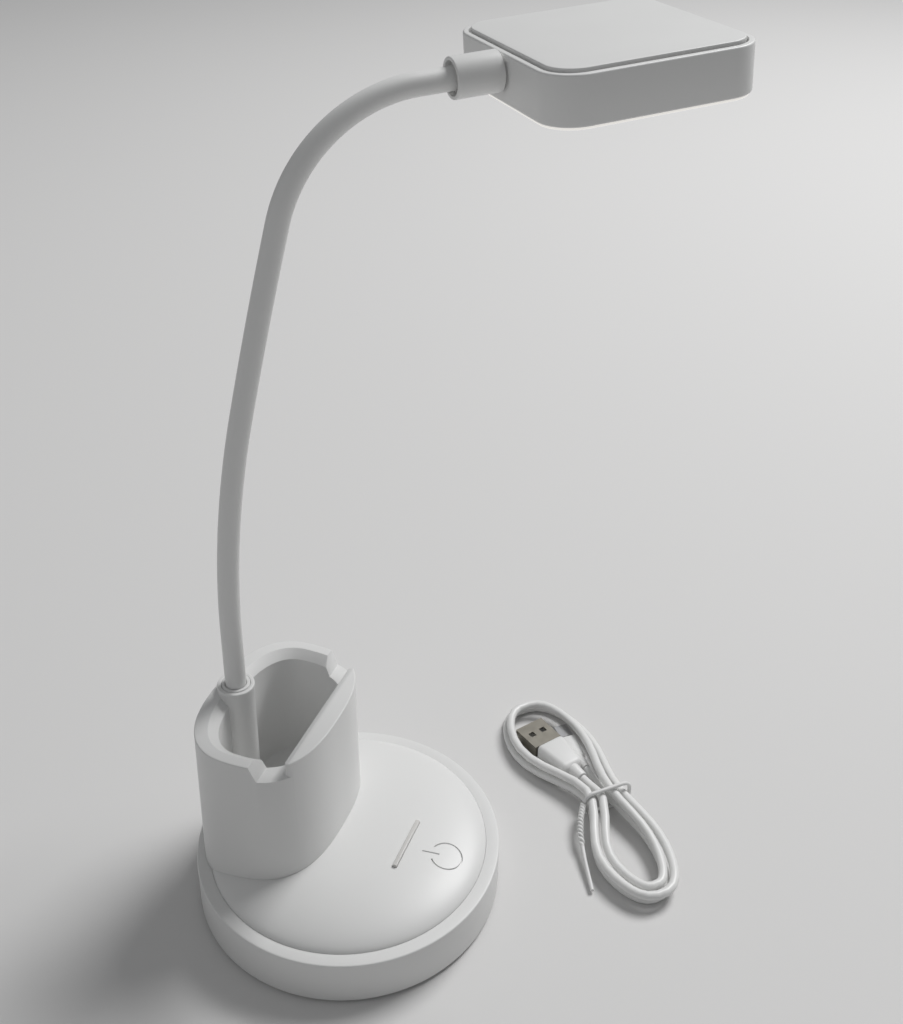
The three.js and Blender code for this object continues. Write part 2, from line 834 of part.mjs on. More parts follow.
function lockNut() {
  const body = rod(nutRadius, nutTop - nutHeight, nutTop, 6).rotate([0, 0, 30]);
  return body.subtract(rod(sleeveRadius + fitGap, 0, ledgeHeight, bossSides));
}

addPiece('neck_lock_nut', lockNut(), 'steel').position.y = neckSeat;

// Lamp head: its own frame has x forward from the middle of its back wall and z up

const end = neckPose(neckLength);
const headMount = new THREE.Group();
headMount.position.copy(end.place);
headMount.rotation.y = end.tilt - Math.PI / 2;
neckPlane.add(headMount);

const headTurn = new THREE.Group();
headTurn.rotation.set(headRoll, headPitch - headMount.rotation.y, headYaw, 'ZYX');
headMount.add(headTurn);
const head = new THREE.Group();
head.position.set(collarLength, 0, -collarRise);
headTurn.add(head);

const cornerSteps = 6;
const headMiddle = headLength / 2;

function headOutline(inset) {
  const outline = roundedOutline(
    headLength - 2 * inset,
    headWidth - 2 * inset,
    headCornerRadius - inset,
    cornerSteps,
  );
  return outline.map((p) => new THREE.Vector2(p.x + headMiddle, p.y));
}

const headTop = headThickness / 2;
const headBottom = -headThickness / 2;
const edgeRound = 0.7;
const plateSeatWidth = 2;
const collarSpigotRadius = 3.2;
const collarTaper = 0.3;
const collarBore = sleeveRadius + 2 * fitGap;
const collarNutThickness = 1.6;
const collarNutRadius = 4.9;
const spigotEnd = headWall + plateSeatWidth + fitGap + collarNutThickness;
const collarShadowGap = 0.8;

// Housing: side walls with a seat for the top plate above and the diffuser below
function headHousing() {
  let body = loft([
    { outline: headOutline(edgeRound), height: headBottom },
    { outline: headOutline(0), height: headBottom + edgeRound },
    { outline: headOutline(0), height: headTop - edgeRound },
    { outline: headOutline(edgeRound), height: headTop },
  ]);
  const seat = headTop - topPlateThickness + topPlateStand - fitGap;
  const plateHole = loft([
    { outline: headOutline(topPlateInset - grooveWidth), height: seat },
    { outline: headOutline(topPlateInset - grooveWidth), height: headTop + overrun },
  ]);
  const inside = loft([
    { outline: headOutline(headWall + plateSeatWidth), height: headBottom - overrun },
    { outline: headOutline(headWall + plateSeatWidth), height: headTop + overrun },
  ]);
  const diffuserSeat = loft([
    { outline: headOutline(headWall), height: headBottom - overrun },
    { outline: headOutline(headWall), height: seat - headWall },
  ]);
  body = body.subtract(plateHole).subtract(inside).subtract(diffuserSeat);
  const hole = rod(collarSpigotRadius + fitGap, -overrun, headWall + 2 * plateSeatWidth, 20);
  return body.subtract(hole.rotate([0, 90, 0]).translate([0, 0, collarRise]));
}

addPiece('head_housing', headHousing(), 'shell', head);

function topPlate() {
  const top = headTop + topPlateStand;
  const round = topPlateStand;
  return loft([
    { outline: headOutline(topPlateInset), height: top - topPlateThickness },
    { outline: headOutline(topPlateInset), height: top - round },
    { outline: headOutline(topPlateInset + round), height: top },
  ]);
}

addPiece('head_top_plate', topPlate(), 'shell', head);

// Diffuser: a shallow tray whose rim shows under the housing as a thin bright edge
const diffuserTop = headBottom + diffuserThickness;

function diffuser() {
  const bottom = headBottom - diffuserStand;
  const plug = headWall + fitGap;
  return loft([
    { outline: headOutline(diffuserInset + diffuserStand / 2), height: bottom },
    { outline: headOutline(diffuserInset), height: bottom + diffuserStand / 2 },
    { outline: headOutline(diffuserInset), height: headBottom - fitGap },
    { outline: headOutline(plug), height: headBottom - fitGap / 2 },
    { outline: headOutline(plug), height: diffuserTop },
  ]);
}

addPiece('diffuser', diffuser(), 'diffuser', head);

// LED board above a white reflector frame
const ledRows = 4;
const ledColumns = 5;
const ledSize = 2.8;
const ledHeight = 0.8;
const boardMargin = 3;
const ledBoardThickness = 1;
const reflectorHeight = 5;
const reflectorWall = 1.2;
const reflectorBottom = diffuserTop + fitGap;
const ledBoardBottom = reflectorBottom + reflectorHeight + fitGap;

function reflectorFrame() {
  const outside = headWall + plateSeatWidth + fitGap;
  const frame = loft([
    { outline: headOutline(headWall + fitGap), height: reflectorBottom },
    { outline: headOutline(outside + reflectorWall), height: reflectorBottom + reflectorHeight },
  ]);
  const open = loft([
    { outline: headOutline(headWall + fitGap + reflectorWall), height: reflectorBottom - fitGap },
    { outline: headOutline(outside + 2 * reflectorWall), height: reflectorBottom + reflectorHeight + fitGap },
  ]);
  const nutRoom = block(
    [0, -collarNutRadius - fitGap, collarRise - collarNutRadius - fitGap],
    [spigotEnd + overrun, collarNutRadius + fitGap, headTop],
  );
  return frame.subtract(open).subtract(nutRoom);
}

addPiece('reflector_frame', reflectorFrame(), 'board', head);

function ledBoard() {
  const inset = headWall + plateSeatWidth + boardMargin;
  let board = loft([
    { outline: headOutline(inset), height: ledBoardBottom },
    { outline: headOutline(inset), height: ledBoardBottom + ledBoardThickness },
  ]);
  const stepX = (headLength - 2 * inset) / ledColumns;
  const stepY = (headWidth - 2 * inset) / ledRows;
  for (let column = 0; column < ledColumns; column += 1) {
    for (let row = 0; row < ledRows; row += 1) {
      const x = inset + stepX * (column + 0.5);
      const y = -headWidth / 2 + inset + stepY * (row + 0.5);
      board = board.add(block(
        [x - ledSize / 2, y - ledSize / 2, ledBoardBottom - ledHeight],
        [x + ledSize / 2, y + ledSize / 2, ledBoardBottom + ledBoardThickness / 2],
      ));
    }
  }
  return board;
}

addPiece('led_board', ledBoard(), 'board', head);


// Collar: the stub that the neck enters, with a spigot held by a nut inside the head
function headCollar() {
  const mouth = -collarLength;
  const gripEnd = mouth + collarGrip + fitGap;
  const body = turned([
    [0, gripEnd],
    [collarBore, gripEnd],
    [collarBore, mouth + edgeRound],
    [collarBore + edgeRound, mouth],
    [collarRadius - collarTaper - edgeRound / 2, mouth],
    [collarRadius - collarTaper, mouth + edgeRound / 2],
    [collarRadius, -collarShadowGap],
    [collarSpigotRadius, -collarShadowGap],
    [collarSpigotRadius, spigotEnd],
    [0, spigotEnd],
  ], 28);
  return body.rotate([0, 90, 0]);
}

addPiece('head_collar', headCollar(), 'shell', head).position.z = collarRise;

function collarNut() {
  const from = headWall + plateSeatWidth + fitGap;
  const nut = rod(collarNutRadius, from, from + collarNutThickness, 6);
  return nut.subtract(rod(collarSpigotRadius + fitGap, 0, spigotEnd + overrun, 20)).rotate([0, 90, 0]);
}

addPiece('collar_nut', collarNut(), 'steel', head).position.z = collarRise;

// Charging lead: a tied hank that lies beside the base, one unbroken cord with a plug at one end
// and the connector for the lamp's socket at the other. Its frame has x along the hank.

const cordRadius = 1.55;
const hankPlace = new THREE.Vector2(61.2, -71.2);
const hankHeading = THREE.MathUtils.degToRad(44.3);
const hankReachFar = 50.5;
const hankReachNear = 44;
const hankWaist = 3.1;
const hankSpreadFar = 12.6;
const hankSpreadNear = 7.8;
const hankBow = 4;
const hankPitch = 3.9;
const hankLayerRise = 3.65;
const hankWaistLift = 2;
const hankWaistPower = 10;
const hankTipPower = 0.75;
const hankFirstTurn = -100;
const hankTopTurn = -450;
const hankLastTurn = -984;
const hankZeroTurn = -75;
const hankSteps = 24;
const cordSides = 6;
const tableGap = 0.1;

// The plug lies in the far loop; the connector lies beside it, under the upper strands
const plugPlace = new THREE.Vector3(9.2, 2.4, 5.1);
const plugHeading = THREE.MathUtils.degToRad(10.5);
const plugPitch = THREE.MathUtils.degToRad(1.5);
const connectorPlace = new THREE.Vector3(15.5, -3, 2);
const connectorHeading = THREE.MathUtils.degToRad(-3);

const hank = new THREE.Group();
hank.position.set(hankPlace.x, hankPlace.y, 0);
hank.rotation.z = hankHeading;
lamp.add(hank);

// The loop before it is spread outwards: a long oval drawn in at its waist
function hankLoop(angle) {
  const along = Math.cos(angle);
  const across = Math.sin(angle);
  const reach = (hankReachFar + hankReachNear) / 2 + (along * (hankReachFar - hankReachNear)) / 2;
  const spread = (hankSpreadFar + hankSpreadNear) / 2 + (along * (hankSpreadFar - hankSpreadNear)) / 2;
  const side = Math.sign(across) * Math.abs(across) ** hankTipPower;
  const away = 1 - Math.abs(across) ** hankWaistPower;
  return new THREE.Vector2(reach * along, side * (hankWaist + spread * away) + hankBow * away);
}

// How far round the half turn that climbs to the upper layer, from 0 to 1
function climb(degrees) {
  const share = Math.min(Math.max((hankTopTurn + 90 - degrees) / 180, 0), 1);
  return share * share * (3 - 2 * share);
}

// The cord's centre at a place along its spiral, in degrees; it winds outwards at a steady
// rate as far as the climb and inwards after it
function hankPoint(degrees) {
  const angle = THREE.MathUtils.degToRad(degrees);
  const nudge = THREE.MathUtils.degToRad(1);
  const centre = hankLoop(angle);
  const ahead = hankLoop(angle + nudge).sub(hankLoop(angle - nudge)).normalize();
  const wound = Math.abs(hankTopTurn - hankZeroTurn) - Math.abs(degrees - hankTopTurn);
  const out = (hankPitch * wound) / 360;
  const rise = hankLayerRise * climb(degrees) + hankWaistLift * Math.abs(Math.sin(angle)) ** hankWaistPower;
  return new THREE.Vector3(centre.x + out * ahead.y, centre.y - out * ahead.x, cordRadius + tableGap + rise);
}

function headingOf(heading, pitch) {
  return new THREE.Vector3(
    Math.cos(heading) * Math.cos(pitch),
    Math.sin(heading) * Math.cos(pitch),
    -Math.sin(pitch),
  );
}

// The whole centre line, as points: connector, bend, spiral, bend, plug
function cordLine() {
  const straight = 2 * cordRadius;
  const connectorWay = headingOf(connectorHeading, 0);
  const plugWay = headingOf(plugHeading, plugPitch);
  const first = connectorPlace.clone().addScaledVector(connectorWay, -fitGap);
  const last = plugPlace.clone().addScaledVector(plugWay, -fitGap);
  const start = first.clone().addScaledVector(connectorWay, -straight);
  const finish = last.clone().addScaledVector(plugWay, -straight);
  const spiral = [];
  const count = Math.round((Math.abs(hankLastTurn - hankFirstTurn) * hankSteps) / 360);
  for (let i = 0; i <= count; i += 1) {
    spiral.push(hankPoint(hankFirstTurn + ((hankLastTurn - hankFirstTurn) * i) / count));
  }
  const before = spiral[0].clone().sub(spiral[1]).normalize();
  const after = spiral.at(-1).clone().sub(spiral.at(-2)).normalize();
  const bend = (from, fromWay, to, toWay) => {
    const reach = from.distanceTo(to) / 3;
    const curve = new THREE.CubicBezierCurve3(
      from,
      from.clone().addScaledVector(fromWay, reach),
      to.clone().addScaledVector(toWay, reach),
      to,
    );
    return curve.getPoints(4);
  };
  const into = bend(start, connectorWay.clone().negate(), spiral[0], before);
  const outOf = bend(spiral.at(-1), after, finish, plugWay.clone().negate());
  return [first, ...into, ...spiral.slice(1, -1), ...outOf, last];
}

const cordPoints = cordLine();

// A centre line that runs straight between its points, each point one step of the tube
class PointLine extends THREE.Curve {
  constructor(points) {
    super();
    this.points = points;
  }

  getPoint(t, target = new THREE.Vector3()) {
    const place = t * (this.points.length - 1);
    const i = Math.min(Math.floor(place), this.points.length - 2);
    return target.lerpVectors(this.points[i], this.points[i + 1], place - i);
  }

  getPointAt(t, target) {
    return this.getPoint(t, target);
  }

  getTangentAt(t, target = new THREE.Vector3()) {
    const place = Math.round(t * (this.points.length - 1));
    const next = Math.min(place + 1, this.points.length - 1);
    const last = Math.max(place - 1, 0);
    return target.subVectors(this.points[next], this.points[last]).normalize();
  }
}

function tube(points, radius, sides) {
  const settings = {
    steps: points.length - 1,
    curveSegments: sides / 2,
    bevelEnabled: false,
    extrudePath: new PointLine(points),
  };
  const section = new THREE.Shape().absarc(0, 0, radius, 0, 2 * Math.PI);
  return toSolid(new THREE.ExtrudeGeometry(section, settings));
}

addPiece('charging_cord', tube(cordPoints, cordRadius, cordSides), 'cord', hank);

function leastGap(points) {
  const fine = [];
  points.slice(1).forEach((point, i) => {
    for (let part = 0; part < 1; part += 0.25) {
      fine.push(points[i].clone().lerp(point, part));
    }
  });
  const travelled = [0];
  fine.slice(1).forEach((point, i) => travelled.push(travelled[i] + point.distanceTo(fine[i])));
  let least = Infinity;
  for (let i = 0; i < fine.length; i += 1) {
    for (let j = i + 1; j < fine.length; j += 1) {
      if (travelled[j] - travelled[i] > 10 * cordRadius) {
        least = Math.min(least, fine[i].distanceTo(fine[j]));
      }
    }
  }
  return [least - 2 * cordRadius, travelled.at(-1)];
}

const [cordGap, cordLength] = leastGap(cordPoints);
console.log(`cord: least gap to itself ${cordGap.toFixed(2)}, length ${cordLength.toFixed(1)}`);

// Plug: relief, moulded grip, metal shell with two latch holes, and the insert in the shell
const reliefRootRadius = 2.2;
const reliefTipRadius = 2.7;
const reliefLength = 5;
const gripLength = 15;
const gripBackWidth = 8.8;
const gripWidth = 12.4;
const gripBackThickness = 6.4;
const gripThickness = 7.6;
const gripRound = 2.2;
const shellLength = 12;
const shellWidth = 12;
const shellThickness = 4.5;
const shellSkin = 0.4;
const latchSize = 2.3;
const latchSpread = 5;
const latchBack = 6.4;
const insertThickness = 1.9;

// A box with rounded long edges that widens from back to front along x
function grip(from, to, backWidth, frontWidth, backThickness, frontThickness, round) {
  const along = to - from;
  const ease = round / 2;
  const body = loft([
    { outline: roundedOutline(backThickness - ease, backWidth - ease, round - ease / 2, 3), height: 0 },
    { outline: roundedOutline(backThickness, backWidth, round, 3), height: ease / 2 },
    { outline: roundedOutline(frontThickness, frontWidth, round, 3), height: along - ease / 4 },
    {
      outline: roundedOutline(frontThickness - ease / 2, frontWidth - ease / 2, round - ease / 4, 3),
      height: along,
    },
  ]);
  return body.rotate([0, 90, 0]).translate([from, 0, 0]);
}

function relief(rootRadius, tipRadius, from, to) {
  const cone = new THREE.CylinderGeometry(tipRadius, rootRadius, to - from, 14);
  return toSolid(cone.rotateZ(-Math.PI / 2).translate((from + to) / 2, 0, 0));
}

const plug = new THREE.Group();
plug.position.copy(plugPlace);
plug.rotation.set(0, plugPitch, plugHeading, 'ZYX');
hank.add(plug);

function plugGrip() {
  const body = grip(
    reliefLength,
    reliefLength + gripLength,
    gripBackWidth,
    gripWidth,
    gripBackThickness,
    gripThickness,
    gripRound,
  );
  return body.add(relief(reliefRootRadius, reliefTipRadius, 0, reliefLength + gripRound));
}

addPiece('plug_grip', plugGrip(), 'shell', plug);

const shellFrom = reliefLength + gripLength + fitGap;

function plugShell() {
  const half = [shellWidth / 2, shellThickness / 2];
  const outside = block([shellFrom, -half[0], -half[1]], [shellFrom + shellLength, half[0], half[1]]);
  const inside = block(
    [shellFrom + shellSkin, shellSkin - half[0], shellSkin - half[1]],
    [shellFrom + shellLength + overrun, half[0] - shellSkin, half[1] - shellSkin],
  );
  let shell = outside.subtract(inside);
  for (const y of [-latchSpread / 2, latchSpread / 2]) {
    shell = shell.subtract(block(
      [shellFrom + latchBack - latchSize / 2, y - latchSize / 2, -shellThickness],
      [shellFrom + latchBack + latchSize / 2, y + latchSize / 2, shellThickness],
    ));
  }
  return shell;
}

addPiece('plug_shell', plugShell(), 'shellMetal', plug);

addPiece('plug_insert', block(
  [
    shellFrom + shellSkin + fitGap,
    -shellWidth / 2 + shellSkin + fitGap,
    -shellThickness / 2 + shellSkin + fitGap,
  ],
  [
    shellFrom + shellLength - fitGap,
    shellWidth / 2 - shellSkin - fitGap,
    -shellThickness / 2 + shellSkin + fitGap + insertThickness,
  ],
), 'insert', plug);

// Connector for the lamp's socket
const connectorGripLength = 12;
const connectorBackWidth = 4.8;
const connectorWidth = 6.8;
const connectorBackThickness = 3.2;
const connectorThickness = 3.4;
const connectorRound = 1.2;
const connectorReliefRadius = 1.7;
const tipLength = 6;
const tipWidth = 6.2;
const tipThickness = 1.9;

const connector = new THREE.Group();
connector.position.copy(connectorPlace);
connector.rotation.z = connectorHeading;
hank.add(connector);

function connectorGrip() {
  const body = grip(
    reliefLength,
    reliefLength + connectorGripLength,
    connectorBackWidth,
    connectorWidth,
    connectorBackThickness,
    connectorThickness,
    connectorRound,
  );
  return body.add(relief(connectorReliefRadius, connectorReliefRadius, 0, reliefLength + connectorRound));
}

addPiece('connector_grip', connectorGrip(), 'shell', connector);

function connectorTip() {
  const from = reliefLength + connectorGripLength + fitGap;
  const outline = roundedOutline(tipThickness, tipWidth, tipThickness / 3, 2);
  return loft([
    { outline, height: from },
    { outline, height: from + tipLength },
  ]).rotate([0, 90, 0]);
}

addPiece('connector_tip', connectorTip(), 'steel', connector);

// Tie: a coated wire round the waist with its twisted tail
const tieRadius = 0.7;
const tailRadius = 1.2;
const tieAlong = -3;
const tieSides = 8;
const tieRound = 2.4;
const tailPoints = [
  new THREE.Vector3(-3, 8.9, 6),
  new THREE.Vector3(-8, 12.6, 5.6),
  new THREE.Vector3(-14, 15.9, 4.3),
  new THREE.Vector3(-23, 19, 2.8),
  new THREE.Vector3(-34, 22.3, 1.35),
];

function tieLoop() {
  const reach = tieRadius + fitGap;
  const widest = hankWaist + hankPitch * 0.75 + cordRadius + reach + 2 * fitGap;
  const low = tieRadius + tableGap;
  const high = 2 * cordRadius + hankLayerRise + hankWaistLift + tableGap + reach;
  const outline = roundedOutline(2 * widest, high - low, tieRound, 4);
  const points = outline.map((corner) => new THREE.Vector3(
    tieAlong,
    corner.x - hankPitch / 4,
    corner.y + (high + low) / 2,
  ));
  return [...points, points[0].clone()];
}

function cordTie() {
  const tail = new THREE.CatmullRomCurve3(tailPoints).getPoints(10);
  return tube(tieLoop(), tieRadius, tieSides).add(tube(tail, tailRadius, tieSides));
}

addPiece('cord_tie', cordTie(), 'sleeve', hank);

export default lamp;
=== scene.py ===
# %% [markdown]
# # A desk lamp with a cup for pens
# The lamp has a round white base with a domed cover, a cup that stands on the back of the dome, a
# flexible neck that comes up through the cup's back wall, and a square head with round corners. Its
# charging lead lies beside it in a tied hank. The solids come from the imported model. They fix every
# size and every joint, and this script builds the surfaces that are seen over them. Lengths are
# written in millimetres, and become metres where a mesh is made or put in its place.

# %% The fixed frame
import json
import math

import bpy
from mathutils import Euler, Matrix, Vector


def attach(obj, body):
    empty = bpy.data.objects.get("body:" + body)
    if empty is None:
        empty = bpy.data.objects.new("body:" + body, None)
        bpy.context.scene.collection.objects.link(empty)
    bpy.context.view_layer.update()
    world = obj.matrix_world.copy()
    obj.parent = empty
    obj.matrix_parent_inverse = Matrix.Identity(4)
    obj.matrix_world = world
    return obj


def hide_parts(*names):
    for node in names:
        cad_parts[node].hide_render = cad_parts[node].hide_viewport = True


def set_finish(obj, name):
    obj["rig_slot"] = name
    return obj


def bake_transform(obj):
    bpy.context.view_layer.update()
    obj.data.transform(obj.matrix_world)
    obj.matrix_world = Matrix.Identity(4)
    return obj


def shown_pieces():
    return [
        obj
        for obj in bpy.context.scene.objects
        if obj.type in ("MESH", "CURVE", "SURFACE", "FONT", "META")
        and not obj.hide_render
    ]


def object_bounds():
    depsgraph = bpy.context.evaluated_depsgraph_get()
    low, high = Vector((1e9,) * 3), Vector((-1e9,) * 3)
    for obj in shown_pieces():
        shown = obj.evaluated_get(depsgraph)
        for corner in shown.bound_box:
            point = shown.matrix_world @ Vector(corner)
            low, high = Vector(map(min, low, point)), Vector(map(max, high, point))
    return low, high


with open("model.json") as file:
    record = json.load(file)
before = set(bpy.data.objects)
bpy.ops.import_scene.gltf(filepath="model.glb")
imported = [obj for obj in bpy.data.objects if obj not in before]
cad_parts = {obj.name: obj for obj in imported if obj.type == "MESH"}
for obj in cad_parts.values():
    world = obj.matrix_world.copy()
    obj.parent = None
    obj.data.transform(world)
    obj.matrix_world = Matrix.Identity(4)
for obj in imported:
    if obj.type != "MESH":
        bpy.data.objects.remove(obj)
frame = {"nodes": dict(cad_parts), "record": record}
cad_box = [list(corner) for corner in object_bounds()]
MM = 0.001
lowest, highest = ([round(v, 3) for v in corner] for corner in cad_box)
print(len(frame["nodes"]), "solids, from", lowest, "to", highest)

# %% [markdown]
# ## The camera
# The camera looks down on the lamp from its left and front, by about thirty degrees, and stands
# close, so the base looks round and wide and the head nearly level. Its direction is written as a
# heading and a dip, which are easy to check against the photograph, and its three axes follow.

# %% Camera
CAMERA_PLACE = Vector((-267.84, -131.08, 342.25)) * MM
CAMERA_HEADING = math.radians(19.96)
CAMERA_DIP = math.radians(29.6)
CAMERA_ROLL = math.radians(0.97)
LENS = 44.1
SENSOR_WIDTH = 36
SHIFT_UP = -0.080
NEAREST_SEEN = 0.01
FARTHEST_SEEN = 20


def add_camera():
    """Builds the camera's three axes from its heading, dip and roll."""
    ahead = Vector((math.cos(CAMERA_HEADING), math.sin(CAMERA_HEADING), 0)) * math.cos(CAMERA_DIP)
    ahead.z = -math.sin(CAMERA_DIP)
    right = ahead.cross(Vector((0, 0, 1))).normalized()
    up = right.cross(ahead)
    across = right * math.cos(CAMERA_ROLL) + up * math.sin(CAMERA_ROLL)
    upward = up * math.cos(CAMERA_ROLL) - right * math.sin(CAMERA_ROLL)
    turn = Matrix((across, upward, -ahead)).transposed().to_4x4()
    bpy.ops.object.camera_add()
    camera = bpy.context.object
    camera.matrix_world = Matrix.Translation(CAMERA_PLACE) @ turn
    camera.data.lens = LENS
    camera.data.sensor_width = SENSOR_WIDTH
    camera.data.shift_y = SHIFT_UP
    camera.data.clip_start = NEAREST_SEEN
    camera.data.clip_end = FARTHEST_SEEN
    return camera


bpy.context.scene.camera = add_camera()
print("camera at", tuple(round(v, 3) for v in CAMERA_PLACE))

# %% [markdown]
# ## Small tools
# Every operator works on what is selected, and the solids come in selected, so each piece is first
# taken by itself. A piece that is finished sits at the origin with its place in its mesh.

# %% Taking, naming and settling a piece
def take(piece):
    """Makes this piece the only one that is selected."""
    if bpy.context.mode != "OBJECT":
        bpy.ops.object.mode_set(mode="OBJECT")
    bpy.ops.object.select_all(action="DESELECT")
    piece.select_set(True)
    bpy.context.view_layer.objects.active = piece


def settle(piece):
    """Puts a piece's place, turn and size into its mesh."""
    take(piece)
    bpy.ops.object.transform_apply(location=True, rotation=True, scale=True)
    return piece


def named(name):
    """Names the piece that was just added."""
    piece = bpy.context.object
    piece.name = name
    piece.data.name = name
    return piece


def apply_all(piece):
    """Applies every modifier, in its order."""
    take(piece)
    for step in list(piece.modifiers):
        bpy.ops.object.modifier_apply(modifier=step.name)
    return piece


print("a piece can be taken, named, settled and finished")

# %% [markdown]
# A spin or a cut can leave doubled points and thin slits. They are mended after each, because a cut
# needs closed pieces. Then the shading is kept smooth over small angles and sharp over large ones.

# %% Mending and smoothing
SAME_POINT = 1e-6


def mend_faces(piece):
    """Merges doubled points, closes slits and turns every face outwards."""
    take(piece)
    bpy.ops.object.mode_set(mode="EDIT")
    bpy.ops.mesh.select_all(action="SELECT")
    bpy.ops.mesh.remove_doubles(threshold=SAME_POINT)
    bpy.ops.mesh.fill_holes(sides=3)
    bpy.ops.mesh.select_all(action="SELECT")
    bpy.ops.mesh.normals_make_consistent(inside=False)
    bpy.ops.object.mode_set(mode="OBJECT")
    return piece


def smooth(piece, degrees=35):
    """Shades a piece smoothly across each edge that is flatter than the angle."""
    take(piece)
    bpy.ops.object.shade_smooth_by_angle(angle=math.radians(degrees))
    return piece


print("points nearer than", SAME_POINT, "m count as one")

# %% [markdown]
# No moulded edge is truly sharp, and a rounded one catches the light. A bevel modifier rounds every
# edge that is sharp enough, or, by weights, only the edges that run along one axis.

# %% Rounding edges
LEAST_RUN = 0.001


def round_edges(piece, width, segments=3, degrees=32):
    """Rounds each edge that is sharper than the angle."""
    step = piece.modifiers.new("round", "BEVEL")
    step.width = width
    step.segments = segments
    step.limit_method = "ANGLE"
    step.angle_limit = math.radians(degrees)
    return apply_all(piece)


def round_along(piece, axis, width, segments):
    """Rounds only the edges that run along one axis: 0, 1 or 2 for x, y or z."""
    weights = piece.data.attributes.new("bevel_weight_edge", "FLOAT", "EDGE")
    for edge in piece.data.edges:
        a, b = (piece.data.vertices[i].co for i in edge.vertices)
        weights.data[edge.index].value = 1 if abs(a[axis] - b[axis]) > LEAST_RUN else 0
    step = piece.modifiers.new("corners", "BEVEL")
    step.width = width
    step.segments = segments
    step.limit_method = "WEIGHT"
    apply_all(piece)
    piece.data.attributes.remove(piece.data.attributes["bevel_weight_edge"])
    return piece


print("edges can be rounded by angle or by axis")

# %% [markdown]
# Holes and recesses are cut with closed cutters that reach a little past what they cut, so that no
# two faces lie in one plane. Parts that are moulded in one are joined in the same way.

# %% Cutting and joining
PAST = 3


def combine(piece, other, operation):
    """Changes one closed piece by another, and throws the other away."""
    step = piece.modifiers.new("combine", "BOOLEAN")
    step.operation = operation
    step.solver = "EXACT"
    step.object = other
    apply_all(piece)
    bpy.data.objects.remove(other)
    return piece


def cut(piece, cutter):
    """Cuts one piece out of another."""
    return combine(piece, cutter, "DIFFERENCE")


def join(piece, other):
    """Makes one piece of two."""
    return combine(piece, other, "UNION")


print("cutters reach", PAST, "mm past what they cut")

# %% [markdown]
# The solids carry the joints. A finished piece rides on its body, takes the place of the solids that
# it dresses, and names the finish that it will wear.

# %% Handing a piece to its body
def wear(piece, body, slot, *nodes):
    """Lets a finished piece ride on its body in place of its solids."""
    settle(piece)
    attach(piece, body)
    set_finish(piece, slot)
    if nodes:
        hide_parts(*nodes)
    print(piece.name, "has", len(piece.data.polygons), "faces and rides on", body)
    return piece


print("tools ready")

# %% [markdown]
# ## The charging lead
# A lead is one length of cable, so it is drawn as one line. This one is folded into a long loop
# drawn in at its waist by the tie. It winds outwards on the table, climbs along one run, and winds
# back inwards on top. The line is a formula, the same as the one in the solid, with finer steps.

# %% The hank's values
CORD_RADIUS = 1.55
HANK_PLACE = Vector((61.2, -71.2, 0))
HANK_HEADING = math.radians(44.3)
REACH_FAR = 50.5
REACH_NEAR = 44
WAIST = 3.1
SPREAD_FAR = 12.6
SPREAD_NEAR = 7.8
BOW = 4
PITCH = 3.9
LAYER_RISE = 3.65
WAIST_LIFT = 2
WAIST_POWER = 10
TIP_POWER = 0.75
FIRST_TURN = -100
TOP_TURN = -450
LAST_TURN = -984
ZERO_TURN = -75
CLIMB_TURN = 180
TABLE_GAP = 0.1
HANK = (
    Matrix.Translation(HANK_PLACE * MM)
    @ Matrix.Rotation(HANK_HEADING, 4, "Z")
    @ Matrix.Scale(MM, 4)
)
print("the hank lies at", tuple(round(v, 4) for v in HANK.translation))


# %% The hank's winding
def spaced(first, last, steps):
    """Even steps from a first value to a last."""
    return [first + (last - first) * i / steps for i in range(steps + 1)]


def loop_point(angle):
    """One loop round the hank, seen from above: a long oval drawn in at its waist."""
    along, across = math.cos(angle), math.sin(angle)
    reach = (REACH_FAR + REACH_NEAR) / 2 + along * (REACH_FAR - REACH_NEAR) / 2
    spread = (SPREAD_FAR + SPREAD_NEAR) / 2 + along * (SPREAD_FAR - SPREAD_NEAR) / 2
    side = math.copysign(abs(across) ** TIP_POWER, across)
    away = 1 - abs(across) ** WAIST_POWER
    return Vector((reach * along, side * (WAIST + spread * away) + BOW * away))


def hank_point(degrees):
    """The loop wound outwards, then inwards again one layer higher."""
    angle = math.radians(degrees)
    nudge = math.radians(1)
    centre = loop_point(angle)
    ahead = (loop_point(angle + nudge) - loop_point(angle - nudge)).normalized()
    wound = abs(TOP_TURN - ZERO_TURN) - abs(degrees - TOP_TURN)
    out = PITCH * wound / 360
    share = min(max((TOP_TURN + CLIMB_TURN / 2 - degrees) / CLIMB_TURN, 0), 1)
    rise = LAYER_RISE * share * share * (3 - 2 * share)
    rise += WAIST_LIFT * abs(math.sin(angle)) ** WAIST_POWER
    height = CORD_RADIUS + TABLE_GAP + rise
    return Vector((centre.x + out * ahead.y, centre.y - out * ahead.x, height))


print("it winds through", FIRST_TURN - LAST_TURN, "degrees")

# %% [markdown]
# The lead runs straight for a short way out of each end, and one even bend leads from there into
# the winding, so that nothing kinks.

# %% The whole line
FIT_GAP = 0.3
PLUG_PLACE = Vector((9.2, 2.4, 5.1))
PLUG_HEADING = math.radians(10.5)
PLUG_PITCH = math.radians(1.5)
CONNECTOR_PLACE = Vector((15.5, -3, 2))
CONNECTOR_HEADING = math.radians(-3)
STEPS_PER_TURN = 48
BEND_STEPS = 8


def way(heading, pitch):
    """The direction of a heading and a downward pitch."""
    level = math.cos(pitch)
    return Vector((math.cos(heading) * level, math.sin(heading) * level, -math.sin(pitch)))


